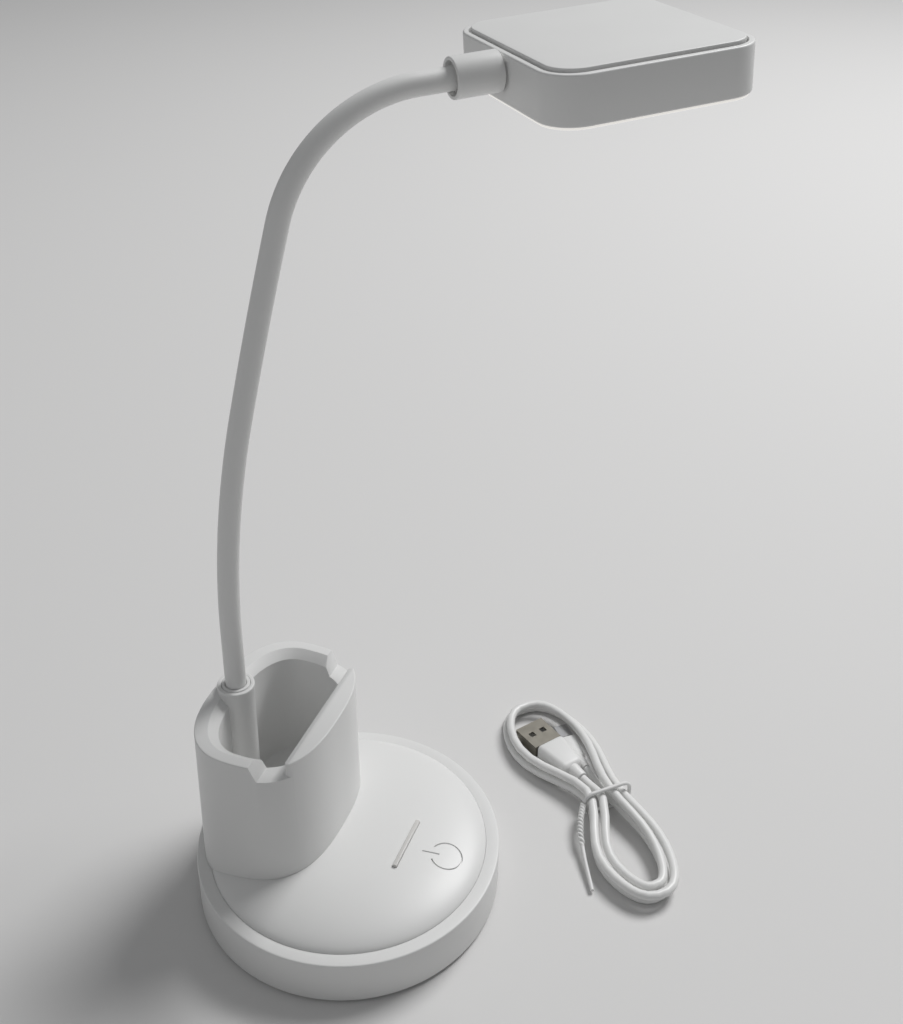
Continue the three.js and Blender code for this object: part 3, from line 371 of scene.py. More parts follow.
def bend(start, start_way, end, end_way):
    """An even bend that leaves each place in a given direction."""
    reach = (start - end).length / 3
    a, b = start + start_way * reach, end + end_way * reach
    points = []
    for t in spaced(0, 1, BEND_STEPS):
        u = 1 - t
        points.append(start * u ** 3 + a * 3 * t * u ** 2 + b * 3 * t * t * u + end * t ** 3)
    return points


def cord_line():
    """The lead's centre line in metres, from the connector to the plug."""
    straight = 2 * CORD_RADIUS
    connector_way, plug_way = way(CONNECTOR_HEADING, 0), way(PLUG_HEADING, PLUG_PITCH)
    first = CONNECTOR_PLACE - connector_way * FIT_GAP
    last = PLUG_PLACE - plug_way * FIT_GAP
    start, finish = first - connector_way * straight, last - plug_way * straight
    count = round(abs(LAST_TURN - FIRST_TURN) * STEPS_PER_TURN / 360)
    spiral = [hank_point(degrees) for degrees in spaced(FIRST_TURN, LAST_TURN, count)]
    before = (spiral[0] - spiral[1]).normalized()
    after = (spiral[-1] - spiral[-2]).normalized()
    into = bend(start, -connector_way, spiral[0], before)
    out_of = bend(spiral[-1], after, finish, -plug_way)
    return [HANK @ p for p in [first, *into, *spiral[1:-1], *out_of, last]]


cord_points = cord_line()


# %% The lead itself
def cable(name, points, radius, rounds):
    """A round tube along a line, as one mesh with closed ends."""
    line = bpy.data.curves.new(name, "CURVE")
    line.dimensions = "3D"
    spline = line.splines.new("POLY")
    spline.points.add(len(points) - 1)
    for point, place in zip(spline.points, points):
        point.co = (*place, 1)
    line.bevel_depth = radius
    line.bevel_resolution = rounds
    line.use_fill_caps = True
    piece = bpy.data.objects.new(name, line)
    bpy.context.scene.collection.objects.link(piece)
    take(piece)
    bpy.ops.object.convert(target="MESH")
    return bpy.context.object


lead = smooth(mend_faces(cable("lead", cord_points, CORD_RADIUS * MM, 4)), 60)
wear(lead, "base", "cord", "charging_cord")

# %% [markdown]
# ## The plug and the connector
# The plug's grip is soft plastic moulded round the metal shell. It is narrow at the cable and widens
# towards the shell, with rounded long edges. A block with its cable end scaled down gives that
# taper, a bevel rounds it, and a short cone at the cable is the strain relief.

# %% The blocks and cones of a moulded grip
PLUG_TURN = Euler((0, PLUG_PITCH, PLUG_HEADING), "XYZ").to_matrix().to_4x4()
PLUG = HANK @ Matrix.Translation(PLUG_PLACE) @ PLUG_TURN
CONNECTOR = HANK @ Matrix.Translation(CONNECTOR_PLACE) @ Matrix.Rotation(CONNECTOR_HEADING, 4, "Z")
SAME_END = 0.01


def add_block(name, low, high):
    """A block between its lowest and its highest corner."""
    middle = [(a + b) / 2 for a, b in zip(low, high)]
    bpy.ops.mesh.primitive_cube_add(size=1, location=middle)
    piece = named(name)
    piece.scale = [b - a for a, b in zip(low, high)]
    return settle(piece)


def shrink_end(piece, at, wide, high):
    """Scales the end that lies at this place along x."""
    take(piece)
    for vertex in piece.data.vertices:
        vertex.select = abs(vertex.co.x - at) < SAME_END
    for part in [*piece.data.edges, *piece.data.polygons]:
        part.select = all(piece.data.vertices[i].select for i in part.vertices)
    bpy.ops.object.mode_set(mode="EDIT")
    bpy.ops.transform.resize(value=(1, wide, high))
    bpy.ops.object.mode_set(mode="OBJECT")


def moulded_grip(name, start, end, back, front, rounding):
    """A tapered block along x. Back and front are its width and height at its two ends."""
    wide, high = front
    piece = add_block(name, (start, -wide / 2, -high / 2), (end, wide / 2, high / 2))
    shrink_end(piece, start, back[0] / wide, back[1] / high)
    return round_edges(piece, rounding, 5, 30)


def relief(name, start, end, root, tip):
    """A round strain relief along x, between two radii."""
    middle = (start + end) / 2
    bpy.ops.mesh.primitive_cone_add(
        vertices=32,
        radius1=root,
        radius2=tip,
        depth=end - start,
        location=(middle, 0, 0),
        rotation=(0, math.pi / 2, 0),
    )
    return round_edges(settle(named(name)), root / 8, 2, 40)


print("the plug lies at", tuple(round(v, 4) for v in PLUG.translation))

# %% The plug's grip and the connector's grip
plug_grip = moulded_grip(
    "plug_mould", start=5, end=20, back=(8.8, 6.4), front=(12.4, 7.6), rounding=2,
)
join(plug_grip, relief("plug_relief", start=0, end=7.2, root=2.2, tip=2.7))
plug_grip.matrix_world = PLUG
wear(smooth(plug_grip), "base", "shell", "plug_grip")
connector_grip = moulded_grip(
    "connector_mould", start=5, end=17, back=(4.8, 3.2), front=(6.8, 3.4), rounding=1.1,
)
join(connector_grip, relief("connector_relief", start=0, end=6.2, root=1.7, tip=1.7))
connector_grip.matrix_world = CONNECTOR
wear(smooth(connector_grip), "base", "shell", "connector_grip")

# %% [markdown]
# ## The tie
# The tie is a wire in a plastic coat. It goes once round the waist, and its two ends are twisted
# together into a tail that ends in one straight piece. The twist is two helices round one line.

# %% The tie's loop
TIE_RADIUS = 0.7
TIE_ALONG = -3
TIE_CORNER = 3.2
TIE_STEPS = 8
TIE_HALF = WAIST + PITCH * 0.75 + CORD_RADIUS + TIE_RADIUS + 3 * FIT_GAP
TIE_LOW = TIE_RADIUS + TABLE_GAP
TIE_HIGH = 2 * CORD_RADIUS + LAYER_RISE + WAIST_LIFT + TABLE_GAP + TIE_RADIUS + FIT_GAP


def loop_line():
    """A closed loop with four round corners, upright across the hank."""
    points = []
    wide, high = TIE_HALF - TIE_CORNER, (TIE_HIGH - TIE_LOW) / 2 - TIE_CORNER
    for corner, (sx, sy) in enumerate([(1, 1), (-1, 1), (-1, -1), (1, -1)]):
        for i in range(TIE_STEPS + 1):
            angle = math.pi / 2 * (corner + i / TIE_STEPS)
            y = sx * wide + TIE_CORNER * math.cos(angle) - PITCH / 4
            z = sy * high + TIE_CORNER * math.sin(angle) + (TIE_HIGH + TIE_LOW) / 2
            points.append(Vector((TIE_ALONG, y, z)))
    return [HANK @ p for p in points + points[:1]]


print("the tie's loop is", round(2 * TIE_HALF, 1), "mm wide")

# %% The tie's twisted tail
TAIL = [
    Vector((-3, 8.9, 6)),
    Vector((-8, 12.6, 5.6)),
    Vector((-14, 15.9, 4.3)),
    Vector((-23, 19, 2.8)),
    Vector((-34, 22.3, 1.35)),
]
TWISTED_SHARE = 0.62
TWISTS = 6
TWIST_STEPS = 96
STRAND_RADIUS = 0.55
STRAND_REACH = 0.6
END_STEPS = 12
END_START = TWISTED_SHARE - 0.03


def tail_point(t):
    """A place along the tail, from 0 at the loop to 1 at its end."""
    place = t * (len(TAIL) - 1)
    i = min(int(place), len(TAIL) - 2)
    return TAIL[i].lerp(TAIL[i + 1], place - i)


def strand(phase):
    """One of the two helices. It closes in on the tail's line where the twist ends."""
    points = []
    for t in spaced(0, TWISTED_SHARE, TWIST_STEPS):
        ahead = (tail_point(min(t + 0.02, 1)) - tail_point(max(t - 0.02, 0))).normalized()
        side = ahead.cross(Vector((0, 0, 1))).normalized()
        rise = side.cross(ahead)
        angle = phase + 2 * math.pi * TWISTS * t / TWISTED_SHARE
        reach = STRAND_REACH * min(1, (TWISTED_SHARE - t) * 12 + 0.25)
        sideways, upwards = side * reach * math.cos(angle), rise * reach * math.sin(angle)
        points.append(tail_point(t) + sideways + upwards)
    return [HANK @ p for p in points]


tie = cable("tie", loop_line(), TIE_RADIUS * MM, 3)
strands = [cable("tie_strand", strand(phase), STRAND_RADIUS * MM, 3) for phase in (0, math.pi)]
straight_end = [HANK @ tail_point(share) for share in spaced(END_START, 1, END_STEPS)]
strands.append(cable("tie_end", straight_end, TIE_RADIUS * MM, 3))
take(tie)
for part in strands:
    part.select_set(True)
bpy.ops.object.join()
wear(smooth(mend_faces(tie), 60), "base", "sleeve", "cord_tie")

# %% [markdown]
# ## The base
# The base is turned: a lower housing with a flat ledge, and a domed cover that sits inside the
# ledge. Both are drawn as half a section, one point after another, and spun round the upright axis.
# The edges that a finger would feel are rounded in the section itself.

# %% Turning a section
def draw_section(name, section):
    """One point is added and extruded from place to place along the section."""
    bpy.ops.mesh.primitive_plane_add(size=MM)
    piece = named(name)
    bpy.ops.object.mode_set(mode="EDIT")
    bpy.ops.mesh.select_all(action="SELECT")
    bpy.ops.mesh.merge(type="CENTER")
    places = [Vector((radius, 0, height)) for radius, height in section]
    bpy.ops.transform.translate(value=places[0])
    for start, end in zip(places, places[1:]):
        bpy.ops.mesh.extrude_vertices_move(TRANSFORM_OT_translate={"value": end - start})
    return piece


def turned(name, section, steps=144):
    """A closed body, from the section's points as radius and height in millimetres."""
    piece = draw_section(name, [(r * MM, z * MM) for r, z in section])
    bpy.ops.mesh.select_all(action="SELECT")
    bpy.ops.mesh.spin(steps=steps, angle=2 * math.pi, center=(0, 0, 0), axis=(0, 0, 1))
    bpy.ops.object.mode_set(mode="OBJECT")
    return mend_faces(piece)


def corner(centre, radius, first, last, count=5):
    """Points round a small corner of a section, between two angles in degrees."""
    angles = [math.radians(degrees) for degrees in spaced(first, last, count - 1)]
    return [(centre[0] + radius * math.cos(a), centre[1] + radius * math.sin(a)) for a in angles]


print("a section can be turned")

# %% The housing and its port
BASE_RADIUS = 50
BASE_INSIDE = BASE_RADIUS - 2.2
PAD = 1.2
FOOT_ROUND = 0.4
LEDGE = 17
LEDGE_ROUND = 0.5
DOME_FOOT = 45.6
SEAM = 0.06
SEAM_ROUND = 0.15
SEAT = 15
SEAT_BELOW = 13.4
SEAT_INSIDE = DOME_FOOT - 2.3
PORT_WIDTH = 8.3
PORT_HIGH = 3.5
PORT_HEIGHT = 8.2
PORT_DEPTH = 5
PORT_ROUND = 1.6

housing = turned("base_wall", [
    (BASE_INSIDE, PAD),
    *corner((BASE_RADIUS - FOOT_ROUND, PAD + FOOT_ROUND), FOOT_ROUND, -90, 0, 4),
    *corner((BASE_RADIUS - LEDGE_ROUND, LEDGE - LEDGE_ROUND), LEDGE_ROUND, 0, 90, 7),
    *corner((DOME_FOOT + SEAM + SEAM_ROUND, LEDGE - SEAM_ROUND), SEAM_ROUND, 90, 180, 3),
    (DOME_FOOT + SEAM, SEAT),
    (SEAT_INSIDE, SEAT),
    (SEAT_INSIDE, SEAT_BELOW),
    (BASE_INSIDE, SEAT_BELOW),
    (BASE_INSIDE, PAD),
])
port = add_block(
    "port",
    Vector((-PORT_WIDTH / 2, BASE_RADIUS - PORT_DEPTH, PORT_HEIGHT - PORT_HIGH / 2)) * MM,
    Vector((PORT_WIDTH / 2, BASE_RADIUS + PAST, PORT_HEIGHT + PORT_HIGH / 2)) * MM,
)
round_along(port, 1, PORT_ROUND * MM, 8)
wear(smooth(cut(housing, port)), "base", "shell", "base_housing")

# %% [markdown]
# The cover's dome rises gently and turns down steeply at its foot. Two marks are cut into it: the
# slot of the indicator strip, and the touch key's sign, an open ring with a stroke in its gap.

# %% The dome
DOME_RISE = 5.9
DOME_FULLNESS = 0.62
DOME_WALL = 2
DOME_STEPS = 26
DOME_ROUNDS = 160
COVER_FOOT = 15.3
CROWN = LEDGE + DOME_RISE


def dome_height(radius):
    """Flat in the middle, with a shoulder that turns down steeply at the foot."""
    return LEDGE + DOME_RISE * (1 - min(radius / DOME_FOOT, 1) ** 4) ** DOME_FULLNESS


shares = [math.sin(math.radians(90 * i / DOME_STEPS)) for i in range(DOME_STEPS, -1, -1)]
outer = [(share * DOME_FOOT, dome_height(share * DOME_FOOT)) for share in shares]
inside = DOME_FOOT - DOME_WALL
inner = [(share * inside, dome_height(share * DOME_FOOT) - DOME_WALL) for share in reversed(shares)]
cover = turned("dome", [
    *inner,
    (inside, COVER_FOOT),
    (DOME_FOOT, COVER_FOOT),
    *outer,
], DOME_ROUNDS)
print("the dome's crown is", round(CROWN, 1), "mm high")

# %% The outlines of the key's sign
KEY_RADIUS = 5.3
KEY_LINE = 0.5
KEY_GAP = math.radians(56)
KEY_TURN = math.radians(10.5)
KEY_STEPS = 60
STROKE_FROM = 2.3
STROKE_TO = 8


def key_outline():
    """The open ring's edge as seen from above, out along the outside and back along the inside."""
    middle = math.pi / 2 + KEY_TURN
    start, end = middle + KEY_GAP / 2, middle - KEY_GAP / 2 + 2 * math.pi
    angles = spaced(start, end, KEY_STEPS)
    inside = KEY_RADIUS - KEY_LINE
    out = [(KEY_RADIUS * math.cos(a), KEY_RADIUS * math.sin(a)) for a in angles]
    back = [(inside * math.cos(a), inside * math.sin(a)) for a in reversed(angles)]
    return out + back


def stroke_outline():
    """The stroke in the ring's gap, turned with it."""
    turn = Matrix.Rotation(KEY_TURN, 2)
    corners = [
        (-KEY_LINE / 2, STROKE_FROM),
        (KEY_LINE / 2, STROKE_FROM),
        (KEY_LINE / 2, STROKE_TO),
        (-KEY_LINE / 2, STROKE_TO),
    ]
    return [tuple(turn @ Vector(corner)) for corner in corners]


print("the ring is drawn through", len(key_outline()), "points")

# %% Engraving the key's sign
KEY_ASIDE = 0.4
KEY_FORWARD = 34.4
KEY_DEPTH = 0.6
ENGRAVE_FROM = 10


def upright_cutter(name, outline, centre, low, high):
    """A flat outline filled and extruded upwards."""
    bpy.ops.mesh.primitive_circle_add(vertices=len(outline), radius=MM, fill_type="NGON")
    piece = named(name)
    for vertex, (x, y) in zip(piece.data.vertices, outline):
        vertex.co = Vector((centre[0] + x, centre[1] + y, low)) * MM
    bpy.ops.object.mode_set(mode="EDIT")
    bpy.ops.mesh.select_all(action="SELECT")
    bpy.ops.mesh.extrude_region_move(TRANSFORM_OT_translate={"value": (0, 0, (high - low) * MM)})
    bpy.ops.object.mode_set(mode="OBJECT")
    return mend_faces(piece)


def engrave(outline):
    """Cuts an outline into the dome, to the same depth everywhere."""
    cutter = upright_cutter("mark", outline, (KEY_ASIDE, -KEY_FORWARD), LEDGE, CROWN + PAST)
    lowered = [(r, z - KEY_DEPTH) for r, z in outer]
    below = turned("below", [(0, ENGRAVE_FROM), (DOME_FOOT, ENGRAVE_FROM), *lowered])
    cut(cover, cut(cutter, below))


engrave(key_outline())
engrave(stroke_outline())
print("the sign is", KEY_DEPTH, "mm deep")

# %% The strip and its slot
BAR_LENGTH = 20.3
BAR_WIDTH = 1.4
BAR_ASIDE = -0.6
BAR_FORWARD = 20.8
BAR_STAND = 0.9
BAR_HIGH = 4
BAR_GAP = 0.1
BAR_ROUND = 0.25


def bar_block(name, gap, low, high):
    """The strip's block, or its slot's, which is wider all round by the gap."""
    return add_block(
        name,
        Vector((BAR_ASIDE - BAR_LENGTH / 2 - gap, -BAR_FORWARD - BAR_WIDTH / 2 - gap, low)) * MM,
        Vector((BAR_ASIDE + BAR_LENGTH / 2 + gap, -BAR_FORWARD + BAR_WIDTH / 2 + gap, high)) * MM,
    )


cut(cover, bar_block("strip_slot", BAR_GAP, LEDGE - PAST, CROWN + PAST))
wear(smooth(cover, 30), "base", "shell", "top_cover")
strip_top = dome_height(BAR_FORWARD) + BAR_STAND
strip = bar_block("strip", 0, strip_top - BAR_HIGH, strip_top)
wear(smooth(round_edges(strip, BAR_ROUND * MM, 4)), "base", "diffuser", "indicator_strip")

# %% [markdown]
# ## The cup
# Seen from above the cup is a rounded oval, flatter behind than in front. Its wall is thick at the
# top and bevelled towards the cavity, and the front of the cavity is straight, because the straight
# face and the notch at each end hold a phone. The outline is a formula, so a ring of points is put
# on it and then extruded, scaled and cut as one would a cylinder.

# %% The cup's outline
CUP_HALF = 29.9
CUP_MIDDLE = 25
CUP_FRONT = 22.7
CUP_BACK = 20.7
FRONT_POWER = 2.7
BACK_POWER = 2.5
SIDE_BAND = 6.4
BACK_BAND = 7.4
CAVITY_FRONT = 19
ROUNDS = 176


def oval(half, front, back):
    """A rounded oval that is flatter behind than in front."""
    points = []
    for i in range(ROUNDS):
        angle = 2 * math.pi * (i + 0.5) / ROUNDS
        across, along = math.cos(angle), math.sin(angle)
        power = FRONT_POWER if along < 0 else BACK_POWER
        reach = front if along < 0 else back
        points.append((
            half * math.copysign(abs(across) ** (2 / power), across),
            CUP_MIDDLE + reach * math.copysign(abs(along) ** (2 / power), along),
        ))
    return points


def grown(grow):
    """The cup's outline, grown all round."""
    return oval(CUP_HALF + grow, CUP_FRONT + grow, CUP_BACK + grow)


def cavity_oval(grow):
    """The cavity's outline, grown all round."""
    return oval(CUP_HALF - SIDE_BAND + grow, CAVITY_FRONT + grow, CUP_BACK - BACK_BAND + grow)


def placed(place):
    """A place rounded enough to find its point again."""
    return tuple(round(v, 7) for v in place)


def stacked(name, rings):
    """A closed body through rings of the same number of points, from the lowest to the highest."""
    bpy.ops.mesh.primitive_circle_add(vertices=len(rings[0][0]), radius=MM, fill_type="NGON")
    piece = named(name)
    ring, height = rings[0]
    for vertex, (x, y) in zip(piece.data.vertices, ring):
        vertex.co = Vector((x, y, height)) * MM
    order = list(range(len(ring)))
    for ring, height in rings[1:]:
        take(piece)
        before = len(piece.data.vertices)
        places = [piece.data.vertices[i].co.copy() for i in order]
        bpy.ops.object.mode_set(mode="EDIT")
        bpy.ops.mesh.extrude_region_move(TRANSFORM_OT_translate={"value": (0, 0, 0)})
        bpy.ops.object.mode_set(mode="OBJECT")
        fresh = {placed(vertex.co): vertex.index for vertex in piece.data.vertices[before:]}
        order = [fresh[placed(place)] for place in places]
        for i, (x, y) in zip(order, ring):
            piece.data.vertices[i].co = Vector((x, y, height)) * MM
    return mend_faces(piece)


print("the cup's outline has", ROUNDS, "points")

# %% The cup's body and cavity
RIM = 68.7
RIM_ROUND = 0.4
CUP_FOOT = 15.5
CUP_DRAFT = 0.7
CUP_FLOOR = 27
CHAMFER_WIDTH = 3
CHAMFER_DEPTH = 2.3
SLOT_FACE = 9.5
CUTTER_HALF = 40

body_rings = [(grown(CUP_DRAFT), CUP_FOOT)]
for angle in [math.radians(degrees) for degrees in (0, 18, 36, 54, 72, 90)]:
    drawn_in, lowered = RIM_ROUND * (math.cos(angle) - 1), RIM_ROUND * (math.sin(angle) - 1)
    body_rings.append((grown(drawn_in), RIM + lowered))
cup = stacked("cup", body_rings)
cavity = stacked("cavity", [
    (cavity_oval(-0.9), CUP_FLOOR),
    (cavity_oval(-0.3), CUP_FLOOR + 0.35),
    (cavity_oval(0), CUP_FLOOR + 1),
    (cavity_oval(0), RIM - CHAMFER_DEPTH),
    (cavity_oval(CHAMFER_WIDTH), RIM),
    (cavity_oval(CHAMFER_WIDTH), RIM + PAST),
])
cut(cavity, add_block(
    "front",
    Vector((-CUTTER_HALF, -CUTTER_HALF, 0)) * MM,
    Vector((CUTTER_HALF, SLOT_FACE, RIM + CUTTER_HALF)) * MM,
))
cut(cup, cavity)
print("cavity cut, with its straight front", SLOT_FACE, "mm from the lamp's axis")

# %% The notches
SLOT_FLOOR_WIDTH = 6.6
SLOT_TOP_WIDTH = 8.9
SLOT_DEPTH = 5.4


def notch_cutter():
    """A bar through both notches. Its back face leans away, so each notch is wider at the rim."""
    floor, top = RIM - SLOT_DEPTH, RIM + SLOT_DEPTH / 2
    lean = (SLOT_TOP_WIDTH - SLOT_FLOOR_WIDTH) * (top - floor) / SLOT_DEPTH
    piece = add_block(
        "notch",
        Vector((-CUTTER_HALF, SLOT_FACE, floor)) * MM,
        Vector((CUTTER_HALF, SLOT_FACE + SLOT_FLOOR_WIDTH, top)) * MM,
    )
    for vertex in piece.data.vertices:
        if vertex.co.z > RIM * MM and vertex.co.y > (SLOT_FACE + SLOT_FLOOR_WIDTH / 2) * MM:
            vertex.co.y += lean * MM
    return piece


cut(cup, notch_cutter())
print("cup cut, with", len(cup.data.polygons), "faces")

# %% [markdown]
# The front wall ends in a thin point at each notch. A finger would feel those points, so they are
# rounded, and the wall's inner edge is bevelled towards the cavity.

# %% The front wall's bevel and its round tips
BEVEL_WIDTH = 1.6
BEVEL_DEPTH = 0.8
TIP_ROUND = 1.2
TIP_STEP = 0.05
TIP_STEPS = 8
TIP_REACH = 8


def front_bevel():
    """A wedge along the inner edge of the front wall."""
    piece = add_block(
        "front_bevel",
        Vector((-CUTTER_HALF, SLOT_FACE - BEVEL_WIDTH, RIM - 2 * BEVEL_DEPTH)) * MM,
        Vector((CUTTER_HALF, SLOT_FACE + BEVEL_WIDTH, RIM + PAST)) * MM,
    )
    for vertex in piece.data.vertices:
        if vertex.co.y < SLOT_FACE * MM and vertex.co.z < RIM * MM:
            vertex.co.z = RIM * MM
    return piece


def tip_outline(side):
    """What a round leaves of the wall's sharp end, seen from above. The side is 1 or -1."""
    wall = [Vector(p) for p in grown(0) if p[0] * side > 0 and p[1] < SLOT_FACE]
    centre = Vector((0, SLOT_FACE - TIP_ROUND))
    while min((p - centre).length for p in wall) > TIP_ROUND:
        centre.x += side * TIP_STEP
    touch = min(wall, key=lambda p: (p - centre).length)
    first, last = math.pi / 2, math.atan2(touch.y - centre.y, (touch.x - centre.x) * side)
    arc = [
        (centre.x + side * TIP_ROUND * math.cos(a), centre.y + TIP_ROUND * math.sin(a))
        for a in spaced(first, last, TIP_STEPS)
    ]
    away = tuple(touch + (touch - centre).normalized() * TIP_REACH / 2)
    behind = SLOT_FACE + 1
    return arc + [away, (centre.x + side * TIP_REACH, behind), (centre.x, behind)]


for side in (1, -1):
    cut(cup, upright_cutter("tip", tip_outline(side), (0, 0), RIM - SLOT_DEPTH, RIM + PAST))
cut(cup, front_bevel())
mend_faces(cup)
print("front wall bevelled, with its tips rounded by", TIP_ROUND, "mm")

# %% [markdown]
# The neck comes up through a boss that grows out of the cup's back wall. The boss is turned, set in
# a bore and joined, so that the two are one moulding.

# %% The neck's boss
CUP_EDGE_ROUND = 0.35
NECK_SEAT = 38.4
NECK_TOP = 71.6
BOSS_FOOT = 25
BOSS_RADIUS = 5.7
BOSS_INSIDE = 3.9
BOSS_MOUTH = 4.75
BOSS_LIP = 6
LIP_HIGH = 1.5
LIP_ROUND = 0.4
MOUTH_DEEP = 7
MOUTH_ROUND = 0.15
BORE_FOOT = 20
SMALL_ROUNDS = 72

round_edges(cup, CUP_EDGE_ROUND * MM, 2, 40)
boss = turned("boss", [
    (BOSS_INSIDE, BOSS_FOOT),
    (BOSS_RADIUS, BOSS_FOOT),
    (BOSS_RADIUS, NECK_TOP - MOUTH_DEEP),
    (BOSS_LIP, NECK_TOP - LIP_HIGH),
    *corner((BOSS_LIP - LIP_ROUND, NECK_TOP - LIP_ROUND), LIP_ROUND, 0, 90, 5),
    *corner((BOSS_MOUTH + MOUTH_ROUND, NECK_TOP - MOUTH_ROUND), MOUTH_ROUND, 90, 180, 3),
    (BOSS_MOUTH, NECK_TOP - MOUTH_DEEP),
    (BOSS_INSIDE, NECK_TOP - MOUTH_DEEP),
    (BOSS_INSIDE, BOSS_FOOT),
], SMALL_ROUNDS)
bore = turned("bore", [
    (0, BORE_FOOT),
    (BOSS_MOUTH, BORE_FOOT),
    (BOSS_MOUTH, NECK_TOP + PAST),
    (0, NECK_TOP + PAST),
], SMALL_ROUNDS)
for piece in (boss, bore):
    piece.location.y = NECK_SEAT * MM
    settle(piece)
cut(cup, bore)
join(cup, boss)
print("boss joined, with its mouth", NECK_TOP, "mm high")

# %% [markdown]
# The cup's foot follows the dome and the ledge. A body with the dome's own section, higher by a
# hair, cuts it, so that the two never touch.

# %% The cup's foot
FOOT_SPARE = 5
FOOT_GAP = FIT_GAP / 3

foot = turned("foot", [
    (0, -FOOT_SPARE),
    (BASE_RADIUS + FOOT_SPARE, -FOOT_SPARE),
    (BASE_RADIUS + FOOT_SPARE, LEDGE + FOOT_GAP),
    (DOME_FOOT + FOOT_GAP, LEDGE + FOOT_GAP),
    *[(r, z + FOOT_GAP) for r, z in outer],
], DOME_ROUNDS)
cut(cup, foot)
mend_faces(cup)
wear(smooth(cup, 32), "base", "shell", "pen_cup")

# %% [markdown]
# A soft ring, the grommet, closes the gap between the boss and the neck, and stands up a little.

# %% The grommet
GROMMET_INSIDE = 3.5
GROMMET_OUTSIDE = 4.6
GROMMET_LOW = NECK_TOP - 6.7
GROMMET_TOP = NECK_TOP + 0.25
OUTER_ROUND = 0.3
INNER_ROUND = 0.2

grommet = turned("grommet", [
    (GROMMET_INSIDE, GROMMET_LOW),
    (GROMMET_OUTSIDE, GROMMET_LOW),
    *corner((GROMMET_OUTSIDE - OUTER_ROUND, GROMMET_TOP - OUTER_ROUND), OUTER_ROUND, 0, 90, 4),
    *corner((GROMMET_INSIDE + INNER_ROUND, GROMMET_TOP - INNER_ROUND), INNER_ROUND, 90, 180, 4),
    (GROMMET_INSIDE, GROMMET_LOW),
], 64)
grommet.location.y = NECK_SEAT * MM
wear(smooth(grommet), "base", "sleeve", "neck_grommet")

# %% [markdown]
# ## The neck
# The sleeve is one smooth tube over a steel gooseneck. The joints of the model are its bends, so the
# tube is cut into seven lengths that meet half way between two joints, one joint in each. A bisect on
# a plane square to the line cuts both neighbours along the same ring, so nothing shows at rest.

# %% The neck's line
SLEEVE_RADIUS = 3.35
NECK_HEADING = math.radians(-45.3)
NECK_RUNS = [(21, 0), (75, 12.8), (58.4, 2.2), (56.7, 71.6), (9.2, -0.6)]
NECK_LENGTH = sum(length for length, _ in NECK_RUNS)
NECK = Matrix.Translation((0, NECK_SEAT, 0)) @ Matrix.Rotation(NECK_HEADING, 4, "Z")


def neck_place(distance):
    """The centre line's place in the neck's own upright plane, and its tilt."""
    tilt, left = 0.0, min(max(distance, 0), NECK_LENGTH)
    place = Vector((0, 0, NECK_TOP + min(distance, 0)))
    for length, degrees in NECK_RUNS:
        part = min(left, length)
        turn = math.radians(degrees) * part / length
        chord = part if turn == 0 else part * math.sin(turn / 2) / (turn / 2)
        place += Vector((chord * math.sin(tilt + turn / 2), 0, chord * math.cos(tilt + turn / 2)))
        tilt += turn
        left -= part
    beyond = max(distance - NECK_LENGTH, 0)
    return place + Vector((beyond * math.sin(tilt), 0, beyond * math.cos(tilt))), tilt


def neck_point(distance):
    """The centre line's place in metres, on the lamp."""
    return Matrix.Scale(MM, 4) @ NECK @ neck_place(distance)[0]


print("the neck is", NECK_LENGTH, "mm long")

# %% The joints and the ends of each length
JOINT_SHARES = [0.075, 0.215, 0.355, 0.495, 0.635, 0.775, 0.915]
SLEEVE_FOOT = -12
COLLAR_GRIP = 10
SLEEVE_SHORT = 0.6

joints = [share * NECK_LENGTH for share in JOINT_SHARES]
middles = [(a + b) / 2 for a, b in zip(joints, joints[1:])]
stops = [SLEEVE_FOOT, *middles, NECK_LENGTH + COLLAR_GRIP - SLEEVE_SHORT]
print("the joints are at", [round(s) for s in joints], "mm")

# %% The whole sleeve
RING_STEP = 0.8

ring_count = math.ceil((stops[-1] - stops[0]) / RING_STEP)
rings = [neck_point(distance) for distance in spaced(stops[0], stops[-1], ring_count)]
whole_sleeve = mend_faces(cable("whole_sleeve", rings, SLEEVE_RADIUS * MM, 10))
print("the whole sleeve has", len(rings), "rings")


# %% The seven lengths of sleeve
def cut_square(piece, distance, keep_above):
    """Cuts a piece square to the neck's line and keeps one side of it."""
    tilt = neck_place(distance)[1]
    along = NECK.to_3x3() @ Vector((math.sin(tilt), 0, math.cos(tilt)))
    take(piece)
    bpy.ops.object.mode_set(mode="EDIT")
    bpy.ops.mesh.select_all(action="SELECT")
    bpy.ops.mesh.bisect(
        plane_co=neck_point(distance),
        plane_no=along,
        use_fill=True,
        clear_inner=keep_above,
        clear_outer=not keep_above,
    )
    bpy.ops.object.mode_set(mode="OBJECT")


LETTERS = ["foot", "a", "b", "c", "d", "e", "f"]
BEND_REACH = 15
for i, letter in enumerate(LETTERS):
    start, end = stops[i], stops[i + 1]
    take(whole_sleeve)
    bpy.ops.object.duplicate()
    sleeve = named(f"sleeve_{i + 1}")
    if start > stops[0]:
        cut_square(sleeve, start, True)
    if end < stops[-1]:
        cut_square(sleeve, end, False)
    smooth(sleeve, 60)
    low = neck_point(max(start, joints[i] - BEND_REACH))
    high = neck_point(min(end, joints[i] + BEND_REACH))
    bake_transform(sleeve)
    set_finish(sleeve, "sleeve")
    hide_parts(f"neck_sleeve_{letter}")
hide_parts("neck_sleeve_tip")
bpy.data.objects.remove(whole_sleeve)

